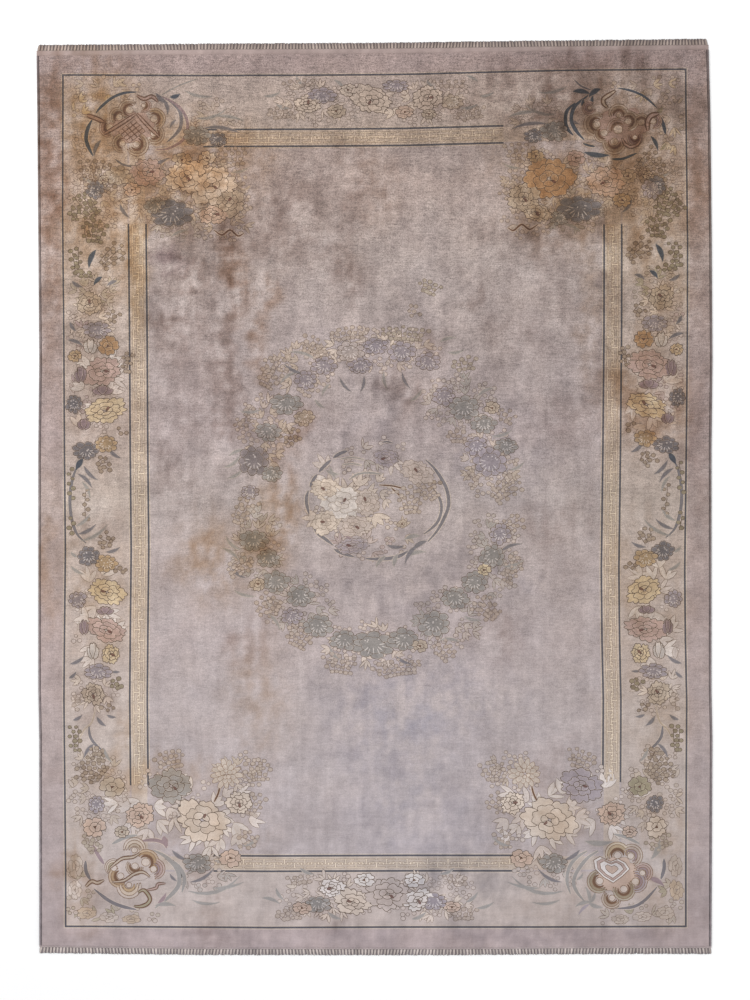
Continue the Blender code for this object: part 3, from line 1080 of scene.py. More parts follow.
# The heart's corners.
HEART = (
    (599.6, 863), (604, 860.5), (608, 862.5), (611.3, 863.8), (616, 862), (621, 864.5),
    (624, 869), (619, 874), (612.8, 878.5), (606, 874.5), (600.5, 869),
)

# The corner bouquets

# Flowers on the left that have a twin on the right, which the mirror places.
# kind, dye, the twin's dye, then across, down, width and height of each
TWINS = (
    ("thicket", "yellow", "yellow", (104, 88, 76, 20), (78, 126, 22, 66)),
    ("thicket", "tan", "tan", (97, 196, 62, 70), (148, 190, 60, 60), (208, 190, 84, 70),
        (226, 226, 50, 26), (214, 122, 50, 40)),
    ("thicket", "slate", "slate", (180, 216, 70, 40)),
    ("berries", "tan", "tan", (100, 176, 52, 30)),
    ("berries", "olive", "olive", (86, 206, 26, 30)),
    ("faint", "tan", "tan", (228, 158, 46, 22), (234, 198, 30, 40)),
    ("rosette", "ink", "ink", (172, 214, 45, 29)),
    ("rosette", "slate", "slate", (197, 135, 29, 22)),
    ("rosette", "ink", "ink", (218, 140, 20, 16)),
    ("peony", "tan", "tan", (228, 202, 36, 32)),
    ("thicket", "tan", "tan", (96, 790, 56, 90)),
    ("plumes", "white", "white", (150, 802, 84, 66), (212, 816, 88, 76)),
    ("thicket", "tan", "tan", (240, 770, 50, 34)),
    ("thicket", "olive", "olive", (78, 890, 18, 60), (120, 917, 90, 16)),
    ("thicket", "slate", "slate", (204, 872, 60, 30)),
    ("berries", "tan", "tan", (92, 768, 38, 28)),
    ("faint", "tan", "tan", (170, 760, 34, 22), (256, 772, 38, 22), (254, 804, 22, 26),
        (248, 840, 24, 20)),
    ("faint", "olive", "olive", (92, 842, 30, 18)),
    ("bud", "tan", "olive", (112, 787, 27, 23)),
    ("peony", "slate", "lavender", (171, 786, 48, 36)),
    ("rosette", "lavender", "ink", (96.5, 804, 19, 19)),
    ("peony", "peach", "peach", (139.5, 815, 32, 27)),
    ("peony", "cream", "cream", (202, 820, 58, 46)),
    ("rosette", "slate", "slate", (198, 863, 30, 21)),
    ("daisy", "cream", "cream", (226.5, 774, 33, 32)),
    ("bud", "peach", "peach", (230.5, 858, 25, 20)),
    ("peony", "cream", "cream", (239, 803, 28, 25)),
    ("bud", "peach", "cream", (95, 827, 25, 23)),
    ("bud", "tan", "peach", (122, 832, 18, 14)),
    ("shell", "tan", "tan", (76, 866, 14, 22)),
    ("shell", "cream", "gold", (75, 890, 14, 20)),
    ("shell", "gold", "tan", (87, 913, 18, 12)),
    ("shell", "cream", "cream", (109, 917, 18, 10)),
    ("shell", "gold", "tan", (131, 919, 17, 9)),
)

# kind, dye, then across, down, width and height of each
BOUQUETS = (
    ("rosette", "tan", (118, 176, 28, 20)),
    ("rosette", "slate", (155, 206, 22, 18)),
    ("peony", "rose", (148, 172, 40, 32)),
    ("peony", "peach", (214, 214, 34, 22)),
    ("peony", "cream", (186, 176, 44, 38), (211, 185, 54, 44)),
    ("bud", "tan", (182, 160, 22, 18)),
    ("bud", "cream", (207, 158, 20, 16)),
    ("bud", "peach", (132, 190, 20, 16)),
    ("rosette", "lavender", (652, 188.6, 22, 22)),
    ("rosette", "slate", (560, 218, 20, 16)),
    ("peony", "peach", (606.6, 181.5, 42, 34)),
    ("peony", "tan", (536, 212, 34, 22)),
    ("peony", "orange", (549, 178.7, 58, 48)),
    ("bud", "rose", (576, 158, 22, 18)),
    ("bud", "gold", (536, 156, 20, 16)),
    ("bud", "tan", (628, 176, 20, 16)),
    ("bud", "gold", (622, 200, 20, 16)),
)

# dye, then from across and down, to across and down, width and bend of each
BLADES = (
    ("slate", (214, 116, 244, 121, 3.2, -0.06), (196, 118, 226, 109, 3.2, 0.12)),
    ("ink", (204, 128, 240, 133, 3.4, -0.08)),
    ("slate", (184, 90, 214, 96, 3.0, 0.1), (231, 172, 249, 167, 2.4, 0.1),
        (188, 230, 170, 238, 3.0, 0.1), (98, 190, 82, 178, 3.2, 0.1)),
    ("ink", (120, 204, 130, 218, 3.4, 0.1)),
    ("slate", (212, 888, 244, 882, 3.2, 0.06), (188, 891, 240, 876, 3.6, 0.16)),
    ("ink", (190, 882, 214, 868, 3.2, 0.12)),
    ("slate", (192, 900, 220, 902, 3.0, 0.1)),
    ("ink", (172, 850, 188, 860, 3.8, 0.1)),
    ("slate", (242, 846, 259, 837, 3.0, 0.1)),
    ("ink", (94, 744, 84, 758, 3.2, 0.1)),
    ("slate", (104, 748, 112, 762, 3.2, 0.1)),
)

# width, dye, points
BRANCHES = (
    (1.8, "brown", ((214, 230), (222, 235), (230, 230), (238, 236), (244, 233))),
    (1.8, "brown", ((220, 786), (218, 794), (214, 802))),
    (1.6, "tan", ((236, 186), (244, 190), (250, 186))),
)

# The garlands down the two sides

# kind, dye, then across, down, width and height of each
GARLAND = (
    ("thicket", "olive", (95, 292, 46, 30)),
    ("thicket", "mauve", (76, 336, 24, 30)),
    ("plumes", "white", (99, 392, 52, 80)),
    ("thicket", "mauve", (80, 392, 26, 46)),
    ("plumes", "cream", (96, 428, 46, 18)),
    ("plumes", "white", (97, 594, 54, 60), (98, 640, 56, 50)),
    ("thicket", "cream", (90, 320, 44, 60), (94, 690, 44, 40)),
    ("berries", "olive", (94, 231, 28, 26), (76, 260, 14, 28)),
    ("berries", "tan", (112, 256, 22, 30)),
    ("berries", "olive", (74, 214, 14, 16), (84, 274, 24, 8)),
    ("rosette", "ink", (95, 190, 20, 20)),
    ("bud", "tan", (103, 180, 12, 10)),
    ("peony", "tan", (89.6, 304, 28, 27)),
    ("berries", "tan", (113, 316, 16, 14), (127, 362, 12, 24)),
    ("rosette", "lavender", (96.5, 330, 29, 18)),
    ("fan", "white", (90, 347, 18, 22)),
    ("bud", "orange", (108, 346, 23, 21)),
    ("bud", "gold", (75, 356, 16, 14)),
    ("peony", "rose", (102, 371, 46, 31)),
    ("fan", "mauve", (81, 375, 16, 24)),
    ("rosette", "ink", (74, 404, 18, 20)),
    ("fan", "mauve", (103, 391, 26, 14)),
    ("peony", "yellow", (105, 411, 48, 28)),
    ("fan", "mauve", (84, 425, 18, 16)),
    ("berries", "tan", (122, 432, 10, 14)),
    ("rosette", "gold", (106, 444, 24, 18)),
    ("rosette", "ink", (86, 451, 28, 19)),
    ("berries", "tan", (104, 464, 20, 16)),
    ("berries", "olive", (71, 484, 7, 34)),
    ("berries", "tan", (86, 505, 10, 34)),
    ("berries", "olive", (71, 526, 7, 20)),
    ("berries", "tan", (106, 541, 20, 16)),
    ("rosette", "ink", (88.5, 556, 24, 20)),
    ("rosette", "gold", (106, 563, 25, 19)),
    ("berries", "tan", (121, 570, 12, 12)),
    ("rosette", "lavender", (78, 600, 19, 19)),
    ("peony", "yellow", (107, 592, 42, 29)),
    ("fan", "mauve", (105, 611, 22, 12)),
    ("peony", "rose", (106, 630, 46, 27)),
    ("fan", "mauve", (84, 628, 14, 22)),
    ("fan", "white", (93, 652, 16, 24)),
    ("peony", "yellow", (111, 654, 21, 22)),
    ("rosette", "lavender", (98, 672, 29, 17)),
    ("berries", "olive", (116, 684, 14, 14)),
    ("peony", "tan", (93, 694, 27, 26)),
    ("faint", "tan", (76, 703, 8, 18)),
    ("berries", "tan", (108, 708, 16, 10)),
    ("berries", "olive", (75, 738, 14, 30)),
    ("berries", "tan", (98, 752, 20, 10)),
)

# dye, then from across and down, to across and down, width and bend of each
GARLAND_LEAVES = (
    ("teal", (96, 250, 89, 268, 5.0, 0.1), (102, 277, 94, 285, 4.0, 0.1)),
    ("ink", (72, 281, 83, 287, 3.6, 0.1), (117, 281, 107, 286, 3.4, 0.1), (70, 322, 76, 331, 3.4, 0.1),
        (68, 340, 83, 346, 3.4, -0.1), (109, 449, 121, 458, 3.6, 0.1)),
    ("teal", (83, 459, 76, 470, 5.4, 0.05)),
    ("ink", (84, 466, 98, 480, 3.6, 0.1), (78, 474, 92, 488, 3.6, -0.1)),
    ("slate", (82, 482, 90, 498, 3.0, -0.1), (76, 526, 90, 514, 3.4, 0.1)),
    ("ink", (78, 534, 96, 524, 3.4, 0.1)),
    ("slate", (80, 541, 108, 524, 3.2, 0.1)),
    ("ink", (106, 552, 120, 547, 3.2, 0.1)),
    ("slate", (71, 552, 78, 557, 3.0, 0.1), (71, 566, 84, 574, 3.2, 0.1)),
    ("ink", (70, 664, 84, 656, 3.4, 0.1), (69, 678, 76, 672, 3.0, 0.1), (112, 672, 120, 672, 2.4, 0.0),
        (73, 720, 82, 715, 3.2, 0.1), (97, 717, 106, 726, 3.6, 0.1), (107, 715, 116, 717, 2.8, 0.1)),
)

# width, dye, points
GARLAND_STEMS = (
    (3.2, "ink", ((80, 462), (74, 474), (70.5, 490), (70, 505), (72, 520), (77, 534), (86, 543))),
    (2.8, "ink", ((89, 726), (90, 736), (95, 744), (102, 750))),
    (1.4, "tan", ((96, 706), (92, 722), (84, 730), (78, 742))),
)

# The right garland is the left one seen in a mirror about a line down the rug, and it lies a little higher.
MIRROR = 375.8
# place down, how far the mirrored place moves down
MIRROR_LIFT = ((160, -4), (300, -7), (450, -6), (560, -5), (600, -1), (860, 0))


def mirrored(across, down):
    """Where a place on the left half lies on the right half."""
    return 2 * MIRROR - across, down + float(wander(MIRROR_LIFT, down))


def mirrored_flowers(table):
    return tuple((kind, silk, *((*mirrored(x, y), *size) for x, y, *size in places)) for kind, silk, *places in table)


def both_twins(table):
    """Each row's flower on the left and its twin on the right."""
    rows = []
    for kind, silk, twin, *places in table:
        for x, y, *size in places:
            rows.append((kind, silk, (x, y, *size)))
            rows.append((kind, twin, (*mirrored(x, y), *size)))
    return rows


def mirrored_leaves(table):
    rows = []
    for silk, *places in table:
        rows.append((silk, *((*mirrored(*p[:2]), *mirrored(*p[2:4]), p[4], -p[5]) for p in places)))
    return tuple(rows)


def mirrored_lines(table):
    return tuple((width, silk, [mirrored(*point) for point in points]) for width, silk, points in table)


# The sprays in the middle of each end

# kind, dye, then across, down, width and height of each
END_SPRAYS = (
    ("faint", "tan", (282, 112, 36, 16), (470, 114, 34, 14), (300, 84, 40, 10), (450, 84, 40, 10)),
    ("thicket", "cream", (322, 102, 100, 38), (424, 102, 110, 38)),
    ("rosette", "lavender", (322, 96, 30, 18)),
    ("peony", "cream", (308, 104, 30, 20)),
    ("bud", "tan", (336, 111, 22, 16)),
    ("peony", "cream", (372, 100, 46, 32)),
    ("bud", "cream", (348, 90, 20, 14)),
    ("rosette", "lavender", (396, 86, 28, 14)),
    ("peony", "cream", (428, 98, 34, 26)),
    ("bud", "peach", (405, 112, 22, 14)),
    ("bud", "tan", (429, 114, 18, 12)),
    ("rosette", "tan", (452, 102, 24, 16)),
    ("faint", "tan", (290, 914, 34, 14), (462, 914, 34, 14), (300, 880, 30, 12), (456, 880, 30, 12)),
    ("thicket", "cream", (330, 896, 110, 44), (428, 896, 110, 44)),
    ("rosette", "slate", (318, 904, 30, 18)),
    ("peony", "white", (332, 888, 30, 22)),
    ("peony", "cream", (353, 902, 42, 28)),
    ("peony", "border", (388, 894, 52, 36)),
    ("bud", "white", (364, 880, 24, 16), (414, 880, 24, 16)),
    ("rosette", "lavender", (434, 902, 30, 18)),
    ("peony", "white", (418, 900, 34, 24)),
    ("bud", "peach", (302, 908, 22, 14), (452, 907, 22, 14)),
)

# dye, then from across and down, to across and down, width and bend of each
END_LEAVES = (
    ("slate", (296, 76, 304, 86, 3.0, 0.1), (334, 80, 344, 89, 3.0, -0.1),
        (276, 104, 290, 108, 3.2, 0.1), (264, 96, 280, 92, 3.0, 0.1), (427, 80, 436, 89, 3.0, 0.1),
        (466, 76, 478, 82, 3.0, -0.1), (460, 108, 478, 104, 3.2, 0.1), (480, 96, 494, 92, 3.0, 0.1),
        (276, 888, 284, 900, 3.2, 0.1), (262, 898, 280, 904, 3.2, -0.1), (466, 902, 478, 892, 3.2, 0.1),
        (476, 908, 494, 902, 3.2, 0.1), (328, 912, 342, 919, 3.4, 0.1), (412, 919, 426, 912, 3.4, 0.1),
        (300, 868, 314, 874, 3.0, 0.1), (440, 874, 454, 868, 3.0, 0.1)),
)

# The wreath in the field

# kind, dye, then across, down, width and height of each
WREATH = (
    ("faint", "olive", (404, 334, 56, 16)),
    ("faint", "tan", (348, 334, 46, 14), (314, 348, 34, 20), (272, 372, 28, 36)),
    ("faint", "olive", (464, 364, 30, 16)),
    ("faint", "tan", (506, 416, 24, 16), (458, 437, 28, 14), (472, 475, 14, 16), (506, 488, 26, 34),
        (512, 524, 20, 26), (246, 420, 18, 30), (244, 510, 24, 34), (240, 566, 22, 28),
        (268, 606, 28, 26), (300, 636, 34, 26), (340, 664, 40, 22), (398, 668, 56, 18),
        (444, 650, 30, 20), (486, 608, 26, 30), (512, 570, 20, 30)),
    ("thicket", "tan", (302, 368, 70, 50)),
    ("thicket", "cream", (378, 350, 130, 40)),
    ("thicket", "tan", (266, 430, 50, 80)),
    ("thicket", "slate", (258, 546, 48, 90), (300, 606, 70, 60)),
    ("thicket", "cream", (372, 646, 110, 44)),
    ("thicket", "slate", (448, 618, 70, 60), (494, 556, 50, 90)),
    ("thicket", "tan", (490, 464, 56, 70)),
    ("thicket", "slate", (458, 402, 76, 56)),
    ("rosette", "border", (350, 352, 30, 22)),
    ("rosette", "lavender", (376, 346, 26, 18), (402, 352, 30, 22), (428, 362, 28, 20),
        (324, 366, 28, 20), (360, 366, 26, 18), (306, 380, 24, 20)),
    ("rosette", "slate", (286, 404, 34, 22)),
    ("rosette", "tan", (304, 418, 22, 18)),
    ("rosette", "slate", (268, 432, 28, 20)),
    ("berries", "tan", (291, 436, 24, 18)),
    ("rosette", "selvedge", (254, 460, 34, 32)),
    ("rosette", "slate", (272, 474, 22, 18)),
    ("rosette", "lavender", (250, 492, 20, 16)),
    ("rosette", "slate", (254, 540, 30, 24), (268, 558, 26, 20), (276, 582, 30, 24)),
    ("bud", "tan", (258, 584, 18, 16)),
    ("rosette", "slate", (300, 596, 30, 24)),
    ("rosette", "lavender", (292, 616, 24, 18)),
    ("rosette", "slate", (318, 626, 32, 24), (344, 640, 32, 22), (373, 645, 46, 28), (404, 640, 34, 24),
        (434, 624, 34, 26)),
    ("bud", "tan", (420, 646, 18, 14)),
    ("rosette", "slate", (455, 598, 30, 24), (474, 582, 28, 24), (492, 556, 28, 26)),
    ("bud", "yellow", (484, 570, 16, 14)),
    ("rosette", "lavender", (500, 534, 24, 22), (490, 462, 36, 32), (476, 446, 26, 20)),
    ("rosette", "slate", (506, 446, 24, 18), (464, 408, 34, 26)),
    ("rosette", "lavender", (444, 396, 26, 20)),
    ("rosette", "slate", (484, 424, 28, 20)),
    ("bud", "tan", (492, 408, 18, 14)),
    ("faint", "olive", (429, 287, 26, 16)),
    ("faint", "tan", (414, 310, 18, 14)),
)

# dye, then from across and down, to across and down, width and bend of each
WREATH_LEAVES = (
    ("slate", (224, 467, 240, 455, 3.2, 0.14), (229, 456, 246, 450, 3.0, -0.1),
        (228, 478, 242, 470, 3.0, 0.1), (240, 411, 262, 409, 3.0, 0.1), (290, 352, 318, 361, 3.0, -0.1)),
    ("ink", (284, 364, 308, 374, 3.0, 0.1)),
    ("slate", (315, 399, 325, 408, 3.0, 0.1), (410, 401, 422, 389, 3.0, 0.1),
        (448, 352, 464, 350, 3.0, 0.1), (440, 342, 456, 338, 3.0, -0.1)),
    ("ink", (340, 378, 352, 392, 3.0, 0.1), (364, 376, 360, 392, 3.0, -0.1)),
    ("slate", (384, 372, 388, 390, 3.0, 0.1)),
    ("ink", (402, 372, 410, 388, 3.0, 0.1)),
    ("slate", (330, 384, 322, 396, 3.0, 0.1), (226, 536, 242, 550, 3.2, 0.14),
        (222, 548, 240, 562, 3.2, -0.1)),
    ("ink", (232, 568, 246, 578, 3.2, 0.1)),
    ("slate", (234, 590, 256, 596, 3.0, 0.1), (268, 614, 280, 630, 3.2, -0.1),
        (330, 648, 340, 660, 3.0, 0.1)),
    ("ink", (396, 656, 412, 664, 3.2, 0.1)),
    ("slate", (440, 640, 460, 642, 3.2, -0.1), (464, 616, 482, 620, 3.2, 0.1),
        (502, 566, 524, 560, 3.2, 0.1)),
    ("ink", (500, 552, 522, 544, 3.2, -0.1)),
    ("slate", (510, 470, 524, 462, 3.0, 0.1), (492, 436, 512, 430, 3.0, 0.1),
        (478, 396, 494, 388, 3.0, -0.1), (296, 372, 280, 384, 3.0, 0.1)),
)

# The ring in the middle

# width, dye, points
MIDDLE_LINES = (
    (3.4, "ink", ((347, 451), (340, 453.6), (333, 458))),
    (3.4, "ink", ((331, 460), (324.4, 466), (319, 472))),
    (3.2, "ink", ((317, 474.5), (313, 480.6), (310, 487))),
    (3.2, "ink", ((308.4, 490.7), (306.4, 498), (306.8, 505), (309, 514))),
    (3.2, "ink", ((313.9, 528.7), (319, 534.4), (325.2, 539), (333, 545))),
    (2.8, "ink", ((334, 549), (342, 553.4), (354, 556.6))),
    (3.4, "ink", ((366, 558.6), (382, 559), (398, 556.6), (408, 551))),
    (3.4, "ink", ((425.6, 459.8), (434, 468), (441, 478), (446.6, 489), (448.8, 503), (445.6, 515), (437, 531), (427.7, 541.7))),
    (2.8, "ink", ((432, 487.5), (439, 497), (441.6, 508), (438.6, 520), (432, 528), (424, 534))),
    (2.0, "slate", ((349, 480), (357, 474.5), (368, 472.8), (382, 474))),
    (1.4, "brown", ((379, 485), (393, 486), (407, 489.7))),
    (1.4, "brown", ((391, 487.5), (397, 493), (404, 499.4))),
    (1.4, "ink", ((382, 442.5), (387, 441.6), (392.5, 443))),
    (1.2, "slate", ((340, 459), (352, 457.6), (364.8, 459.8))),
    (1.2, "slate", ((342, 465), (352, 463.6), (362, 465.4))),
)

# dye, then from across and down, to across and down, width and bend of each
MIDDLE_LEAVES = (
    ("ink", (427, 541, 412, 551, 4.4, 0.1), (418, 545, 405, 564, 4.0, 0.1)),
    ("slate", (398, 554, 394, 567, 4.2, 0.1)),
    ("ink", (387, 545, 404, 546, 3.6, 0.1)),
    ("slate", (408, 556, 426, 552, 3.8, -0.1), (386, 556, 376, 568, 3.6, 0.1),
        (420, 536, 404, 540, 4.0, 0.1)),
    ("ink", (364, 518, 373, 527, 3.8, 0.1)),
    ("slate", (330, 466, 336, 478, 3.0, 0.1), (326, 470, 340, 474, 3.0, 0.1)),
    ("mauve", (344, 535, 366, 541, 3.0, 0.1), (348, 547, 364, 543, 3.0, 0.1)),
)

# kind, dye, then across, down, width and height of each
MIDDLE_FLOWERS = (
    ("faint", "tan", (428, 490, 22, 26), (410, 500, 30, 30)),
    ("thicket", "slate", (364, 456, 44, 20)),
    ("plumes", "white", (332, 470, 30, 24), (392, 452, 40, 20)),
    ("thicket", "cream", (372, 490, 40, 34)),
    ("plumes", "cream", (346, 508, 76, 56)),
    ("thicket", "mauve", (362, 546, 60, 20)),
    ("peony", "lavender", (386, 458, 30, 20)),
    ("peony", "cream", (326, 490, 36, 24)),
    ("peony", "border", (366, 502, 34, 30)),
    ("peony", "white", (342, 503, 52, 36)),
    ("peony", "cream", (326, 522, 34, 26)),
    ("peony", "border", (354, 526, 40, 24)),
    ("peony", "lavender", (352, 546, 36, 18)),
    ("peony", "border", (418, 472, 36, 26)),
    ("berries", "tan", (434, 484, 10, 14)),
    ("thicket", "tan", (400, 534, 26, 28)),
    ("bud", "tan", (402, 524, 12, 10)),
)


# The pile's ground

# The cream lines are this wide, and the grid steps this far down from its rim, in pixels. Between the lines its
# stops are evenly spaced.
CREAM_LINE = 0.9
RIM_STEPS = (0.0, 0.12, 0.35, 0.75, 1.6)
SPACING = 2.62


def grid_stops(low, high):
    """Stops for the grid: close together at its rims and round each drawn line, and even between them."""
    marks = [PILE_RIM[low] + step for step in RIM_STEPS] + [PILE_RIM[high] - step for step in RIM_STEPS]
    for line in [line[side] for line in (GUARD, KEY_OUTER, KEY_INNER) for side in (low, high)]:
        marks += [line - GUARD_HALF - CREAM_LINE, line - GUARD_HALF]
        marks += [line + GUARD_HALF, line + GUARD_HALF + CREAM_LINE]
    marks.sort()
    stops = []
    for start, end in zip(marks, marks[1:]):
        count = max(1, round((end - start) / SPACING))
        stops += [start + (end - start) * number / count for number in range(count)]
    return stops + [marks[-1]]


def edge_of(node, band, sign):
    """Where the node's outer edge runs on one side: its places along, and its edge there, in metres."""
    places = read_places(frame["nodes"][node].data)
    along = 1 - band
    places = places[places[:, band] * sign > 0.97 * (places[:, band] * sign).max()]
    order = np.argsort(places[:, along])
    return places[order][:, along], places[order][:, band]


def outline_at(node, band, sign, place):
    """The node's outermost edge at places along it, from its own mesh, in metres."""
    along, edge = edge_of(node, band, sign)
    bins = np.linspace(along[0], along[-1], 41)
    middle, outer = [], []
    for start, end in zip(bins, bins[1:]):
        inside = (along >= start) & (along <= end)
        if inside.any():
            best = np.argmax(edge[inside] * sign)
            middle.append(along[inside][best])
            outer.append(edge[inside][best])
    return np.interp(place, middle, outer)


def slab_outline(band, sign, place):
    """The pile slab's edge on its floor: it has one corner a stop, so it is read corner by corner."""
    places = read_places(frame["nodes"]["rug_body"].data)
    places = places[np.abs(places[:, 2]) < 0.1 * MM]
    reach = places[:, band] * sign
    edge = places[reach > reach.max() - 0.03]
    order = np.argsort(edge[:, 1 - band])
    return np.interp(place, edge[order][:, 1 - band], edge[order][:, band])


def bend(places, first, last, edges, beside):
    """Straight places between two sides, moved as the borders wander, on lines that run this far along."""
    (low, low_wander), (high, high_wander) = first, last
    straight = [line[low] for line in (PILE_RIM, GUARD, KEY_INNER)] + [line[high] for line in (KEY_INNER, GUARD, PILE_RIM)]
    lower, higher = wander(low_wander, beside), wander(high_wander, beside)
    bent = (edges[0], GUARD[low] + lower, KEY_INNER[low] + lower)
    bent += (KEY_INNER[high] + higher, GUARD[high] + higher, edges[1])
    return np.array([np.interp(place, straight, row) for place, row in zip(places, np.stack(bent, axis=1))])


def bend_across(across, down):
    """Where places across the rug really are, on rows this far down."""
    edges = [slab_outline(0, sign, (MIDDLE_Y - down) * PIXEL) / PIXEL + MIDDLE_X for sign in (-1, 1)]
    return bend(across, ("left", LEFT_WANDER), ("right", RIGHT_WANDER), edges, down)


def bend_down(down, across):
    """Where places down the rug really are, on columns this far across."""
    edges = [MIDDLE_Y - slab_outline(1, sign, (across - MIDDLE_X) * PIXEL) / PIXEL for sign in (1, -1)]
    return bend(down, ("top", TOP_WANDER), ("bottom", BOTTOM_WANDER), edges, across)


PILE_RIM = {"left": 39.5, "right": 710.0, "top": 51.5, "bottom": 947.0}
GUARD_HALF = 0.95
ROUNDING = 3.0 * MM


def bent(across, down):
    """Straight places, in pixels, moved to where the borders really run."""
    moved_across = bend_across(across, down)
    moved_down = bend_down(down, moved_across)
    return bend_across(across, moved_down), moved_down


def depth_inside(rectangle, across, down):
    """How far inside a rectangle a place is, in pixels."""
    sides = (across - rectangle["left"], rectangle["right"] - across)
    ends = (down - rectangle["top"], rectangle["bottom"] - down)
    return np.minimum.reduce(sides + ends)


def on_key_span(across, down):
    """Whether a place is on a stretch of the key border that the corner flowers leave in view."""
    open_spans = {}
    for side, (low, high) in KEY_SPANS.items():
        place = down if side in ("left", "right") else across
        open_spans[side] = (place > low) & (place < high)
    beside = (across < 200) & open_spans["left"] | (across > 550) & open_spans["right"]
    return beside | (down < 200) & open_spans["top"] | (down > 800) & open_spans["bottom"]


def zone_colours(across, down, colours):
    """The ground's colour at straight places: field, borders and their lines."""
    dyes = {name: np.array(getattr(colours, name)) for name in ("field", "outer", "border", "key", "cream", "guard")}
    silk = np.tile(dyes["field"], (len(across), 1))
    in_guard = depth_inside(GUARD, across, down)
    in_outer = depth_inside(KEY_OUTER, across, down)
    in_inner = depth_inside(KEY_INNER, across, down)
    spanned = on_key_span(across, down)
    silk[(in_inner < 0) & (in_outer > 0) & spanned] = dyes["key"]
    silk[(in_inner < 0) & (in_outer > 0) & ~spanned] = mixed(dyes["border"], dyes["key"], 0.5)
    silk[(in_outer < 0) & (in_guard > 0)] = dyes["border"]
    silk[in_guard < 0] = dyes["outer"]
    pale = mixed(dyes["key"], dyes["cream"], 0.5)
    for depth, shown in ((in_guard, True), (in_outer, spanned), (in_inner, spanned)):
        silk[(np.abs(depth) < GUARD_HALF + CREAM_LINE) & shown] = pale
        silk[(np.abs(depth) < GUARD_HALF) & shown] = dyes["guard"]
    return silk


def lay_pile(colours):
    """The whole pile as one closed piece, with the borders' lines as crisp edges between its colours."""
    columns, rows = grid_stops("left", "right"), grid_stops("top", "bottom")
    shape = bmesh.new()
    bmesh.ops.create_grid(shape, x_segments=len(columns) - 1, y_segments=len(rows) - 1, size=1.0)
    rim = [edge for edge in shape.edges if edge.is_boundary]
    skirt = bmesh.ops.extrude_edge_only(shape, edges=rim)["geom"]
    lower = [item for item in skirt if isinstance(item, bmesh.types.BMVert)]
    bmesh.ops.translate(shape, verts=lower, vec=(0.0, 0.0, -1.0))
    bmesh.ops.holes_fill(shape, edges=[edge for edge in shape.edges if edge.is_boundary])
    mesh = bpy.data.meshes.new("pile_ground")
    shape.to_mesh(mesh)
    shape.free()
    places = read_places(mesh)
    column = np.rint((places[:, 0] + 1) / 2 * (len(columns) - 1)).astype(int)
    row = np.rint((1 - places[:, 1]) / 2 * (len(rows) - 1)).astype(int)
    straight_across, straight_down = np.array(columns)[column], np.array(rows)[row]
    across, down = bent(straight_across, straight_down)
    rim_depth = depth_inside(PILE_RIM, straight_across, straight_down)
    away = np.clip(1 - rim_depth * PIXEL / ROUNDING, 0.0, 1.0)
    fall = ROUNDING * (1 - np.sqrt(1 - away**2))
    x, y = to_metres(across, down)
    ripple = np.array([noise.noise(Vector((a * 9, d * 9, 0.0))) for a, d in zip(x, y)]) * 0.12 * MM
    top = PILE_TOP - fall + ripple * (away == 0) - 0.12 * MM
    places = np.stack([x, y, np.where(places[:, 2] < -0.5, 0.0, top)], axis=1)
    mesh.vertices.foreach_set("co", places.ravel())
    mesh.update()
    if mesh.polygons[0].normal.z < 0:
        mesh.flip_normals()
    corners, faces, starts = read_corners(mesh)
    middle_across = np.add.reduceat(straight_across[corners], starts) / np.bincount(faces)
    middle_down = np.add.reduceat(straight_down[corners], starts) / np.bincount(faces)
    silk = zone_colours(middle_across, middle_down, colours)[faces]
    write_colours(mesh, silk * ageing_and_painted_shade(across, down)[corners])
    smooth_over(mesh)
    piece = make_piece("pile_ground", mesh, "Silk pile")
    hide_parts("rug_body")
    return piece


# The key border

KEY_REPEAT = 20.7
# A hooked figure in one repeat of the key: along the border and across it, as shares of the repeat and the band.
KEY_FIGURE = (
    (0.05, 0.10), (0.95, 0.10), (0.95, 0.20), (0.54, 0.20), (0.54, 0.50), (0.80, 0.50), (0.80, 0.36), (0.88, 0.36),
    (0.88, 0.60), (0.12, 0.60), (0.12, 0.36), (0.20, 0.36), (0.20, 0.50), (0.46, 0.50), (0.46, 0.20), (0.05, 0.20),
)


def key_border(colours, sizes):
    """The interlocking hooks of the key border: each repeat has one figure from each side of the band."""
    relief = Relief("key_border", colours, sizes)
    rim = mixed(relief.dye("key"), relief.dye("brown"), 0.9)
    for side, (start, end) in KEY_SPANS.items():
        low, high = sorted((KEY_OUTER[side], KEY_INNER[side]))
        low, high = low + GUARD_HALF + 0.9, high - GUARD_HALF - 0.9
        count = round((end - start) / KEY_REPEAT)
        repeat = (end - start) / count
        for number in range(count):
            for flip, shift in ((False, 0.0), (True, 0.5)):
                if flip and number == count - 1:
                    continue
                along = [start + (number + shift + share) * repeat for share, _ in KEY_FIGURE]
                over = [low + (high - low) * (1 - share if flip else share) for _, share in KEY_FIGURE]
                flat = (along, over) if side in ("top", "bottom") else (over, along)
                across, down = bent(np.array(flat[0]), np.array(flat[1]))
                relief.add(list(zip(across, down)), "key_line", rim=rim, inset=0.6, crown=False)
    return relief.build()


# The flowers


def corner_rings(colours, sizes):
    relief = Relief("corner_rings", colours, sizes)
    draw_flowers(relief, RING_BODIES)
    draw_knobs(relief)
    draw_ribbons(relief, RIBBONS)
    draw_lattice(relief)
    draw_heart(relief)
    draw_lines(relief, RING_LINES)
    draw_leaves(relief, RING_LEAVES)
    return relief.build()


def corner_bouquets(colours, sizes):
    relief = Relief("corner_bouquets", colours, sizes)
    draw_leaves(relief, BLADES + mirrored_leaves(BLADES))
    draw_lines(relief, BRANCHES + mirrored_lines(BRANCHES))
    draw_flowers(relief, both_twins(TWINS))
    draw_flowers(relief, BOUQUETS)
    return relief.build()


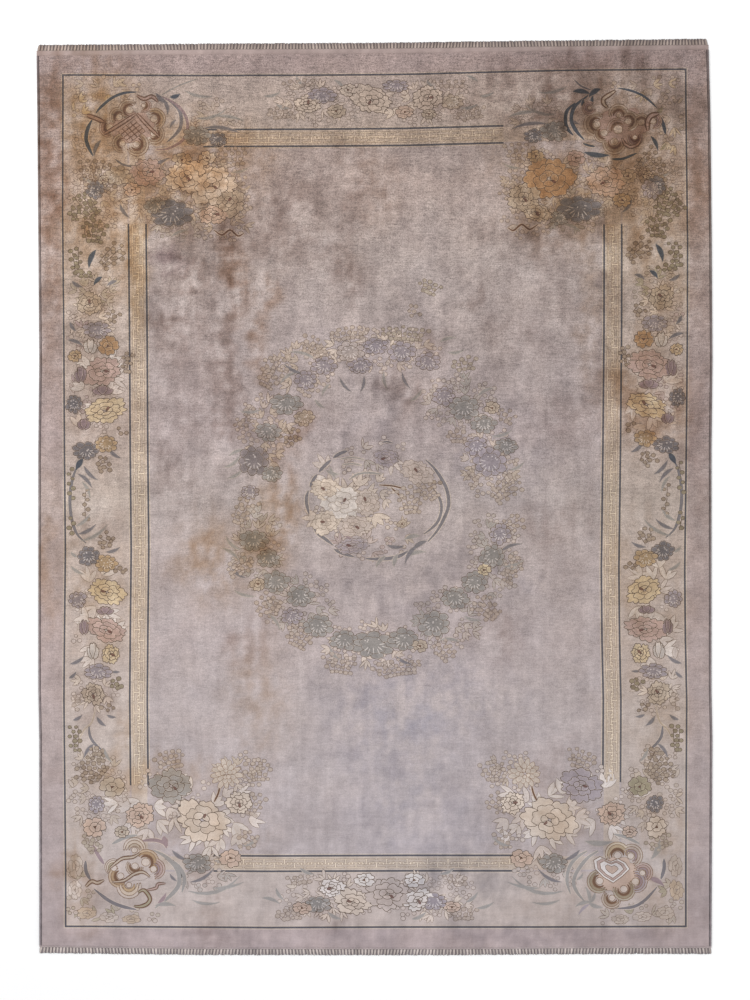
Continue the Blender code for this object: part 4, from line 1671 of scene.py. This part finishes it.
def side_garlands(colours, sizes):
    relief = Relief("side_garlands", colours, sizes)
    draw_lines(relief, GARLAND_STEMS + mirrored_lines(GARLAND_STEMS))
    draw_leaves(relief, GARLAND_LEAVES + mirrored_leaves(GARLAND_LEAVES))
    draw_flowers(relief, GARLAND + mirrored_flowers(GARLAND))
    return relief.build()


def end_sprays(colours, sizes):
    relief = Relief("end_sprays", colours, sizes)
    draw_leaves(relief, END_LEAVES)
    draw_flowers(relief, END_SPRAYS)
    return relief.build()


def field_wreath(colours, sizes):
    relief = Relief("field_wreath", colours, sizes, 0.8)
    draw_leaves(relief, WREATH_LEAVES)
    draw_flowers(relief, WREATH)
    return relief.build()


def middle_ring(colours, sizes):
    relief = Relief("middle_ring", colours, sizes, 0.42)
    draw_lines(relief, MIDDLE_LINES)
    draw_leaves(relief, MIDDLE_LEAVES)
    draw_flowers(relief, MIDDLE_FLOWERS)
    return relief.build()


# The sides and ends

CORD_WIDTH = 11 * MM
CORD_HEIGHT = 7.4 * MM
CORD_FLAT = 0.4
WRAP = 5.2 * MM


def overcast_side(name, side, colours):
    """A side wrapped in yarn: a low cord whose turns stand out as ridges, every second turn painted darker as painted
    shade between them.
    """
    low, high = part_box(name)
    count = 2 * round((high.y - low.y) / WRAP)
    around = 10
    shape = bmesh.new()
    bmesh.ops.create_grid(shape, x_segments=around, y_segments=count, size=1.0)
    rings = {}
    for vert in shape.verts:
        number = round((vert.co.y + 1) / 2 * count)
        rings.setdefault(number, []).append(vert)
        angle = math.pi * (vert.co.x - 0.5)
        y = low.y + 0.2 * MM + (high.y - low.y - 0.4 * MM) * number / count
        edge = float(outline_at(name, 0, side, y))
        tight = 0.9 if number % 2 else 1.0
        across = math.cos(angle) * tight * (CORD_WIDTH / 2 - 0.2 * MM)
        up = (max(math.sin(angle), -CORD_FLAT) + CORD_FLAT) / (1 + CORD_FLAT) * CORD_HEIGHT * tight
        lean = 0.0015 * math.sin(angle) if 0 < number < count else 0.0
        vert.co = (edge - side * CORD_WIDTH / 2 + across, y + lean, up)
    bmesh.ops.remove_doubles(shape, verts=shape.verts, dist=0.02 * MM)
    bmesh.ops.holes_fill(shape, edges=[edge for edge in shape.edges if edge.is_boundary])
    bmesh.ops.recalc_face_normals(shape, faces=shape.faces)
    mesh = bpy.data.meshes.new("overcasting" + name[8:])
    shape.to_mesh(mesh)
    shape.free()
    places = read_places(mesh)
    across, down = to_pixels(places)
    turn = np.rint((places[:, 1] - low.y) / (high.y - low.y) * count).astype(int)
    # Every second turn is darker: painted shade in the groove between two ridges. The slow waves are the yarn's own
    # tone.
    light = 1.06 - 0.14 * (turn % 2) + 0.05 * np.sin(turn * 0.37) * np.sin(turn * 0.053)
    silk = np.array(colours.selvedge) * light[:, None] * ageing_and_painted_shade(across, down)
    write_colours(mesh, silk[read_corners(mesh)[0]])
    smooth_over(mesh)
    piece = make_piece(mesh.name, mesh, "Wrapped yarn")
    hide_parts(name)
    return piece


STRAND_LENGTH = 27 * MM
WEB_THICKNESS = 2.6 * MM


def fringed_end(name, end, colours, sizes):
    """The woven web and its knotted warp ends: pale bundles over a row of darker ones, fused at their roots. The
    darker row is painted shade in the gaps between the pale bundles, and each bundle's darker rim is painted shade on
    its flanks.
    """
    low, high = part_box(name)
    relief = Relief("fringe" + name[6:] + "_warps", colours, sizes, foot=0.0, level=1.1 * MM)
    stations = np.linspace(low.x + 1 * MM, high.x - 1 * MM, 161)
    tips = outline_at(name, 1, end, stations)
    web_edge = tips - end * (STRAND_LENGTH - 1 * MM)
    pile_edge = slab_outline(1, end, np.clip(stations, *slab_span())) + end * 0.3 * MM
    shape = bmesh.new()
    bmesh.ops.create_grid(shape, x_segments=160, y_segments=3, size=1.0)
    for vert in shape.verts:
        station = round((vert.co.x + 1) / 2 * 160)
        share = (vert.co.y + 1) / 2
        y = pile_edge[station] + (web_edge[station] - pile_edge[station]) * share
        vert.co = (stations[station], y, 0.0)
    grown = bmesh.ops.extrude_face_region(shape, geom=shape.faces[:], use_keep_orig=True)
    raised = [item for item in grown["geom"] if isinstance(item, bmesh.types.BMVert)]
    bmesh.ops.translate(shape, verts=raised, vec=(0.0, 0.0, WEB_THICKNESS))
    bmesh.ops.recalc_face_normals(shape, faces=shape.faces)
    mesh = bpy.data.meshes.new("web" + name[6:])
    shape.to_mesh(mesh)
    shape.free()
    across, down = to_pixels(read_places(mesh))
    write_colours(mesh, (np.array(colours.web) * ageing_and_painted_shade(across, down))[read_corners(mesh)[0]])
    web = make_piece(mesh.name, mesh, "Woven silk")
    count = sizes.bundles
    pitch = (high.x - low.x - 4 * MM) / count
    # The lower row, in the overcasting's darker colour, is painted shade in the gaps between the pale bundles above
    # it.
    for layer, dye, wide, level in ((0.5, "selvedge", 0.56, 1.2), (0.0, "warp", 0.40, 2.6)):
        relief.level = level * MM
        for number in range(count):
            x = low.x + 2 * MM + (number + 0.5 + layer) * pitch
            if x > high.x - 6 * MM:
                continue
            slant = 4.5 * MM * math.sin(number * math.tau / count * 3.5 + end) + relief.chance.uniform(-1.2, 1.2) * MM
            slant = max(low.x + 2 * MM - x, min(high.x - 2 * MM - x, slant))
            root = float(np.interp(x, stations, web_edge)) - end * 1.5 * MM
            tip = float(np.interp(x + slant, stations, tips)) - end * relief.chance.uniform(0.3, 2.6) * MM
            outline = []
            for share, spread in ((0.0, 0.7), (0.3, 1.0), (0.55, 0.85), (0.8, 0.7), (1.0, 0.3)):
                outline.append((share, pitch * wide * spread * relief.chance.uniform(0.9, 1.05)))
            left = [(x + slant * share - half, root + (tip - root) * share) for share, half in outline]
            right = [(x + slant * share + half, root + (tip - root) * share) for share, half in outline]
            corners = [(a / PIXEL + MIDDLE_X, MIDDLE_Y - d / PIXEL) for a, d in left + right[::-1]]
            silk = relief.dye(dye) * relief.chance.uniform(0.9, 1.08)
            # Each bundle's rim, darker than its middle, is painted shade on its flanks.
            relief.add(corners, silk, rim=silk * 0.72, inset=0.6, crown=False)
    warps = relief.build("Warp ends")
    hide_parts(name)
    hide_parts(name)
    return web, warps


def slab_span():
    low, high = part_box("rug_body")
    return low.x, high.x


# Materials


class Value:
    """A socket in a finish's nodes that can be used in sums."""

    def __init__(self, finish, socket):
        self.finish = finish
        self.socket = socket

    def maths(self, operation, first, second):
        made = self.finish.node("ShaderNodeMath", {"operation": operation}, {0: first, 1: second})
        return made["Value"]

    def __add__(self, other):
        return self.maths("ADD", self, other)

    __radd__ = __add__

    def __sub__(self, other):
        return self.maths("SUBTRACT", self, other)

    def __rsub__(self, other):
        return self.maths("SUBTRACT", other, self)

    def __mul__(self, other):
        return self.maths("MULTIPLY", self, other)

    __rmul__ = __mul__


class Outputs:
    """A node's outputs, by name."""

    def __init__(self, finish, node):
        self.finish = finish
        self.node = node

    def __getitem__(self, name):
        if isinstance(name, str):
            found = [socket for socket in self.node.outputs if socket.name == name and socket.enabled]
            return Value(self.finish, found[0])
        return Value(self.finish, self.node.outputs[name])


class Finish:
    """A material: one Principled shader with constant sockets, and the nodes that vary over its surface."""

    def __init__(self, name, **constants):
        self.material = bpy.data.materials.new(name)
        self.material.use_nodes = True
        self.nodes = self.material.node_tree.nodes
        self.links = self.material.node_tree.links
        self.shader = self.nodes["Principled BSDF"]
        for socket, value in constants.items():
            self.shader.inputs[socket.replace("_", " ")].default_value = value

    def node(self, kind, settings=None, sockets=None):
        made = self.nodes.new(kind)
        for name, value in (settings or {}).items():
            setattr(made, name, value)
        for name, value in (sockets or {}).items():
            self.put(made.inputs[name], value)
        return Outputs(self, made)

    def put(self, socket, value):
        if isinstance(value, Value):
            self.links.new(value.socket, socket)
        else:
            socket.default_value = value

    def place(self, stretch):
        """Object coordinates, stretched along each axis."""
        where = self.node("ShaderNodeTexCoord")["Object"]
        return self.node("ShaderNodeMapping", None, {"Vector": where, "Scale": stretch})["Vector"]

    def cloud(self, scale, stretch=(1.0, 1.0, 1.0), detail=3.0, roughness=0.55):
        """Smooth noise about nought, near half above and below."""
        sockets = {"Vector": self.place(stretch), "Scale": scale, "Detail": detail, "Roughness": roughness}
        return self.node("ShaderNodeTexNoise", {"noise_dimensions": "3D"}, sockets)["Fac"] - 0.5

    def height_up(self):
        """How far up the rug a place is, in metres from its middle."""
        where = self.node("ShaderNodeTexCoord")["Object"]
        return self.node("ShaderNodeSeparateXYZ", None, {"Vector": where})["Y"]

    def dyed(self):
        return self.node("ShaderNodeAttribute", {"attribute_name": "Silk"})["Color"]

    def blend(self, mode, first, second, factor=1.0):
        sockets = {0: factor, 6: first, 7: second}
        return self.node("ShaderNodeMix", {"data_type": "RGBA", "blend_type": mode}, sockets)[2]

    def shade(self, colour, roughness, height, strength, distance):
        self.put(self.shader.inputs["Base Color"], colour)
        self.put(self.shader.inputs["Roughness"], roughness)
        bump = self.node("ShaderNodeBump", None, {"Height": height, "Strength": strength, "Distance": distance})
        self.put(self.shader.inputs["Normal"], bump["Normal"])
        return self.material


def silk_finish(name, mottle, streak, grain):
    """Silk that reads its dye from the mesh, mottled, brushed in streaks both ways and grained by its knots. The
    mottling and streaks are partly the dye's own unevenness and partly painted sheen, where the pile lies one way or
    another.
    """
    finish = Finish(name, Specular_IOR_Level=0.25, Sheen_Weight=0.12, Sheen_Roughness=0.45)
    clouds = finish.cloud(5.5, detail=6.0, roughness=0.65)
    patches = finish.cloud(23.0, detail=4.0)
    lengthwise = finish.cloud(52.0, (1.0, 0.12, 1.0), 4.0)
    crosswise = finish.cloud(46.0, (0.10, 1.0, 1.0), 3.0)
    nap = finish.cloud(150.0, (1.0, 0.7, 1.0), 4.0, 0.7)
    creases = finish.cloud(100.0, (0.3, 1.6, 1.0), 3.0, 0.65)
    knots = finish.cloud(330.0, (1.0, 0.8, 1.0), 2.0)
    # Mottling and streaks: uneven dye, and painted sheen of the pile's lay, multiplied into the colour.
    light = 1.0 + clouds * mottle + patches * (mottle * 0.8) + lengthwise * streak + crosswise * (streak * 0.8)
    worn = finish.height_up() * 0.40 + 1.0
    light = light + nap * worn * (grain * 8.0) + knots * worn * (grain * 12.0) + creases * worn * (grain * 6.0)
    colour = finish.blend("MULTIPLY", finish.dyed(), light)
    warm = finish.cloud(7.0, detail=5.0) * 2.2 + 0.5
    tinted = finish.blend("MULTIPLY", colour, (1.0, 0.975, 0.945, 1.0))
    colour = finish.blend("MIX", colour, tinted, warm)
    roughness = 0.62 + lengthwise * 0.25 + patches * 0.2
    height = knots * 0.5 + nap * 0.8 + lengthwise * 0.6 + crosswise * 0.4
    return finish.shade(colour, roughness, height, 0.25, 1.2 * MM)


def yarn_finish(name, streak, grain, roughness):
    """Spun yarn: a dyed colour with fine fibres along and across."""
    finish = Finish(name, Specular_IOR_Level=0.2, Sheen_Weight=0.1)
    fibres = finish.cloud(300.0, (0.3, 1.0, 1.0), 3.0)
    tone = finish.cloud(14.0, detail=4.0)
    colour = finish.blend("MULTIPLY", finish.dyed(), 1.0 + tone * streak + fibres * grain)
    return finish.shade(colour, roughness + fibres * 0.2, fibres, 0.3, 0.8 * MM)


def floor_finish():
    finish = Finish("Pale floor", Specular_IOR_Level=0.1)
    grain = finish.cloud(9.0, detail=4.0)
    colour = finish.blend("MULTIPLY", (0.93, 0.93, 0.935, 1.0), 1.0 + grain * 0.012)
    return finish.shade(colour, 0.85 + grain * 0.1, grain, 0.02, 0.5 * MM)


def make_finishes():
    silk_finish("Silk pile", 0.42, 0.24, 0.12)
    silk_finish("Carved silk", 0.34, 0.20, 0.10)
    yarn_finish("Wrapped yarn", 0.5, 0.3, 0.75)
    yarn_finish("Woven silk", 0.4, 0.35, 0.78)
    yarn_finish("Warp ends", 0.3, 0.25, 0.8)


# The stage

CAMERA_HEIGHT = 8.0


def set_stage():
    """A pale floor, soft light and a camera straight above."""
    shape = bmesh.new()
    bmesh.ops.create_grid(shape, x_segments=4, y_segments=4, size=9.0)
    bmesh.ops.translate(shape, verts=shape.verts, vec=(0.0, 0.0, -0.4 * MM))
    mesh = bpy.data.meshes.new("floor")
    shape.to_mesh(mesh)
    shape.free()
    mesh.materials.append(floor_finish())
    floor = bpy.data.objects.new("floor", mesh)
    bpy.context.scene.collection.objects.link(floor)
    floor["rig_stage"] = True
    camera = bpy.data.cameras.new("camera")
    camera.sensor_fit = "AUTO"
    camera.sensor_width = 36.0
    camera.lens = 36.0 * (CAMERA_HEIGHT - PILE_TOP) / (PHOTO_HEIGHT * PIXEL)
    camera.clip_end = 60.0
    eye = bpy.data.objects.new("camera", camera)
    eye.location = (*to_metres(PHOTO_WIDTH / 2, PHOTO_HEIGHT / 2), CAMERA_HEIGHT)
    bpy.context.scene.collection.objects.link(eye)
    bpy.context.scene.camera = eye
    # across, along, up, size, power
    for across, along, up, size, power in ((-3.4, 3.6, 4.2, 2.6, 150.0), (3.8, -2.6, 5.0, 4.0, 60.0)):
        light = bpy.data.lights.new("soft_light", "AREA")
        light.shape = "DISK"
        light.size = size
        light.energy = power
        lamp = bpy.data.objects.new("soft_light", light)
        lamp.location = (across, along, up)
        lamp.rotation_euler = Vector((across, along, up)).to_track_quat("Z", "Y").to_euler()
        bpy.context.scene.collection.objects.link(lamp)
    world = bpy.data.worlds.new("studio")
    bpy.context.scene.world = world
    world.use_nodes = True
    world.node_tree.nodes["Background"].inputs["Color"].default_value = (1.0, 1.0, 1.0, 1.0)
    world.node_tree.nodes["Background"].inputs["Strength"].default_value = 0.85
    bpy.context.scene.view_settings.view_transform = "Standard"


# The add-on


class RugOperator:
    """What the rug's operators share: each makes its pieces from the scene's colours and sizes."""

    def execute(self, context):
        made = self.make(context.scene.rug_colours, context.scene.rug_sizes)
        if made is None:
            raise RuntimeError(self.bl_label + " made nothing")
        return {"FINISHED"}


class RUG_OT_pile(RugOperator, bpy.types.Operator):
    """Lays the pile with its borders, its stains, its darker top end and its painted shade towards the right side"""

    bl_idname = "rug.pile"
    bl_label = "Pile"

    def make(self, colours, sizes):
        make_finishes()
        return lay_pile(colours)


class RUG_OT_key_border(RugOperator, bpy.types.Operator):
    """Carves the hooks of the key border"""

    bl_idname = "rug.key_border"
    bl_label = "Key border"

    def make(self, colours, sizes):
        return key_border(colours, sizes)


class RUG_OT_corner_rings(RugOperator, bpy.types.Operator):
    """Carves the four corner rings with their scrolls"""

    bl_idname = "rug.corner_rings"
    bl_label = "Corner rings"

    def make(self, colours, sizes):
        return corner_rings(colours, sizes)


class RUG_OT_corner_bouquets(RugOperator, bpy.types.Operator):
    """Carves the flowers beside each corner ring"""

    bl_idname = "rug.corner_bouquets"
    bl_label = "Corner bouquets"

    def make(self, colours, sizes):
        return corner_bouquets(colours, sizes)


class RUG_OT_side_garlands(RugOperator, bpy.types.Operator):
    """Carves the garlands down both sides"""

    bl_idname = "rug.side_garlands"
    bl_label = "Side garlands"

    def make(self, colours, sizes):
        return side_garlands(colours, sizes)


class RUG_OT_end_sprays(RugOperator, bpy.types.Operator):
    """Carves the sprays in the middle of both ends"""

    bl_idname = "rug.end_sprays"
    bl_label = "End sprays"

    def make(self, colours, sizes):
        return end_sprays(colours, sizes)


class RUG_OT_field_wreath(RugOperator, bpy.types.Operator):
    """Carves the wreath in the field"""

    bl_idname = "rug.field_wreath"
    bl_label = "Wreath"

    def make(self, colours, sizes):
        return field_wreath(colours, sizes)


class RUG_OT_middle_ring(RugOperator, bpy.types.Operator):
    """Carves the flowers and the broken ring in the middle"""

    bl_idname = "rug.middle_ring"
    bl_label = "Middle ring"

    def make(self, colours, sizes):
        return middle_ring(colours, sizes)


class RUG_OT_overcasting(RugOperator, bpy.types.Operator):
    """Wraps the two long sides in yarn"""

    bl_idname = "rug.overcasting"
    bl_label = "Overcasting"

    def make(self, colours, sizes):
        return [overcast_side("selvedge_left", -1, colours), overcast_side("selvedge_right", 1, colours)]


class RUG_OT_fringe(RugOperator, bpy.types.Operator):
    """Weaves the web and knots the warp ends at both ends"""

    bl_idname = "rug.fringe"
    bl_label = "Fringe"

    def make(self, colours, sizes):
        return [fringed_end("fringe_top", 1, colours, sizes), fringed_end("fringe_bottom", -1, colours, sizes)]


class RUG_OT_cloth(RugOperator, bpy.types.Operator):
    """Finds the pile piece and the other shown pieces, and gives back the pile"""

    bl_idname = "rug.cloth"
    bl_label = "Cloth"

    def make(self, colours, sizes):
        pile = bpy.data.objects["pile_ground"]
        others = [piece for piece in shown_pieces() if piece is not pile and "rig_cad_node" not in piece]
        return pile


class RUG_OT_stage(bpy.types.Operator):
    """Sets the floor, the light and the camera"""

    bl_idname = "rug.stage"
    bl_label = "Stage"

    def execute(self, context):
        set_stage()
        return {"FINISHED"}


class RUG_PT_panel(bpy.types.Panel):
    """The rug's pieces, colours and sizes"""

    bl_label = "Silk rug"
    bl_idname = "RUG_PT_panel"
    bl_space_type = "VIEW_3D"
    bl_region_type = "UI"
    bl_category = "Silk Rug"

    def draw(self, context):
        for operator in OPERATORS:
            self.layout.operator(operator.bl_idname)
        for group in (context.scene.rug_sizes, context.scene.rug_colours):
            for name in group.__annotations__:
                self.layout.prop(group, name)


OPERATORS = (
    RUG_OT_pile,
    RUG_OT_key_border,
    RUG_OT_corner_rings,
    RUG_OT_corner_bouquets,
    RUG_OT_side_garlands,
    RUG_OT_end_sprays,
    RUG_OT_field_wreath,
    RUG_OT_middle_ring,
    RUG_OT_overcasting,
    RUG_OT_fringe,
    RUG_OT_cloth,
    RUG_OT_stage,
)
CLASSES = (RugColours, RugSizes) + OPERATORS + (RUG_PT_panel,)


def register():
    for kind in CLASSES:
        bpy.utils.register_class(kind)
    bpy.types.Scene.rug_colours = PointerProperty(type=RugColours)
    bpy.types.Scene.rug_sizes = PointerProperty(type=RugSizes)


def unregister():
    del bpy.types.Scene.rug_sizes
    del bpy.types.Scene.rug_colours
    for kind in reversed(CLASSES):
        bpy.utils.unregister_class(kind)


def main():
    register()
    for operator in OPERATORS:
        group, name = operator.bl_idname.split(".")
        getattr(getattr(bpy.ops, group), name)()


if __name__ == "__main__":
    main()
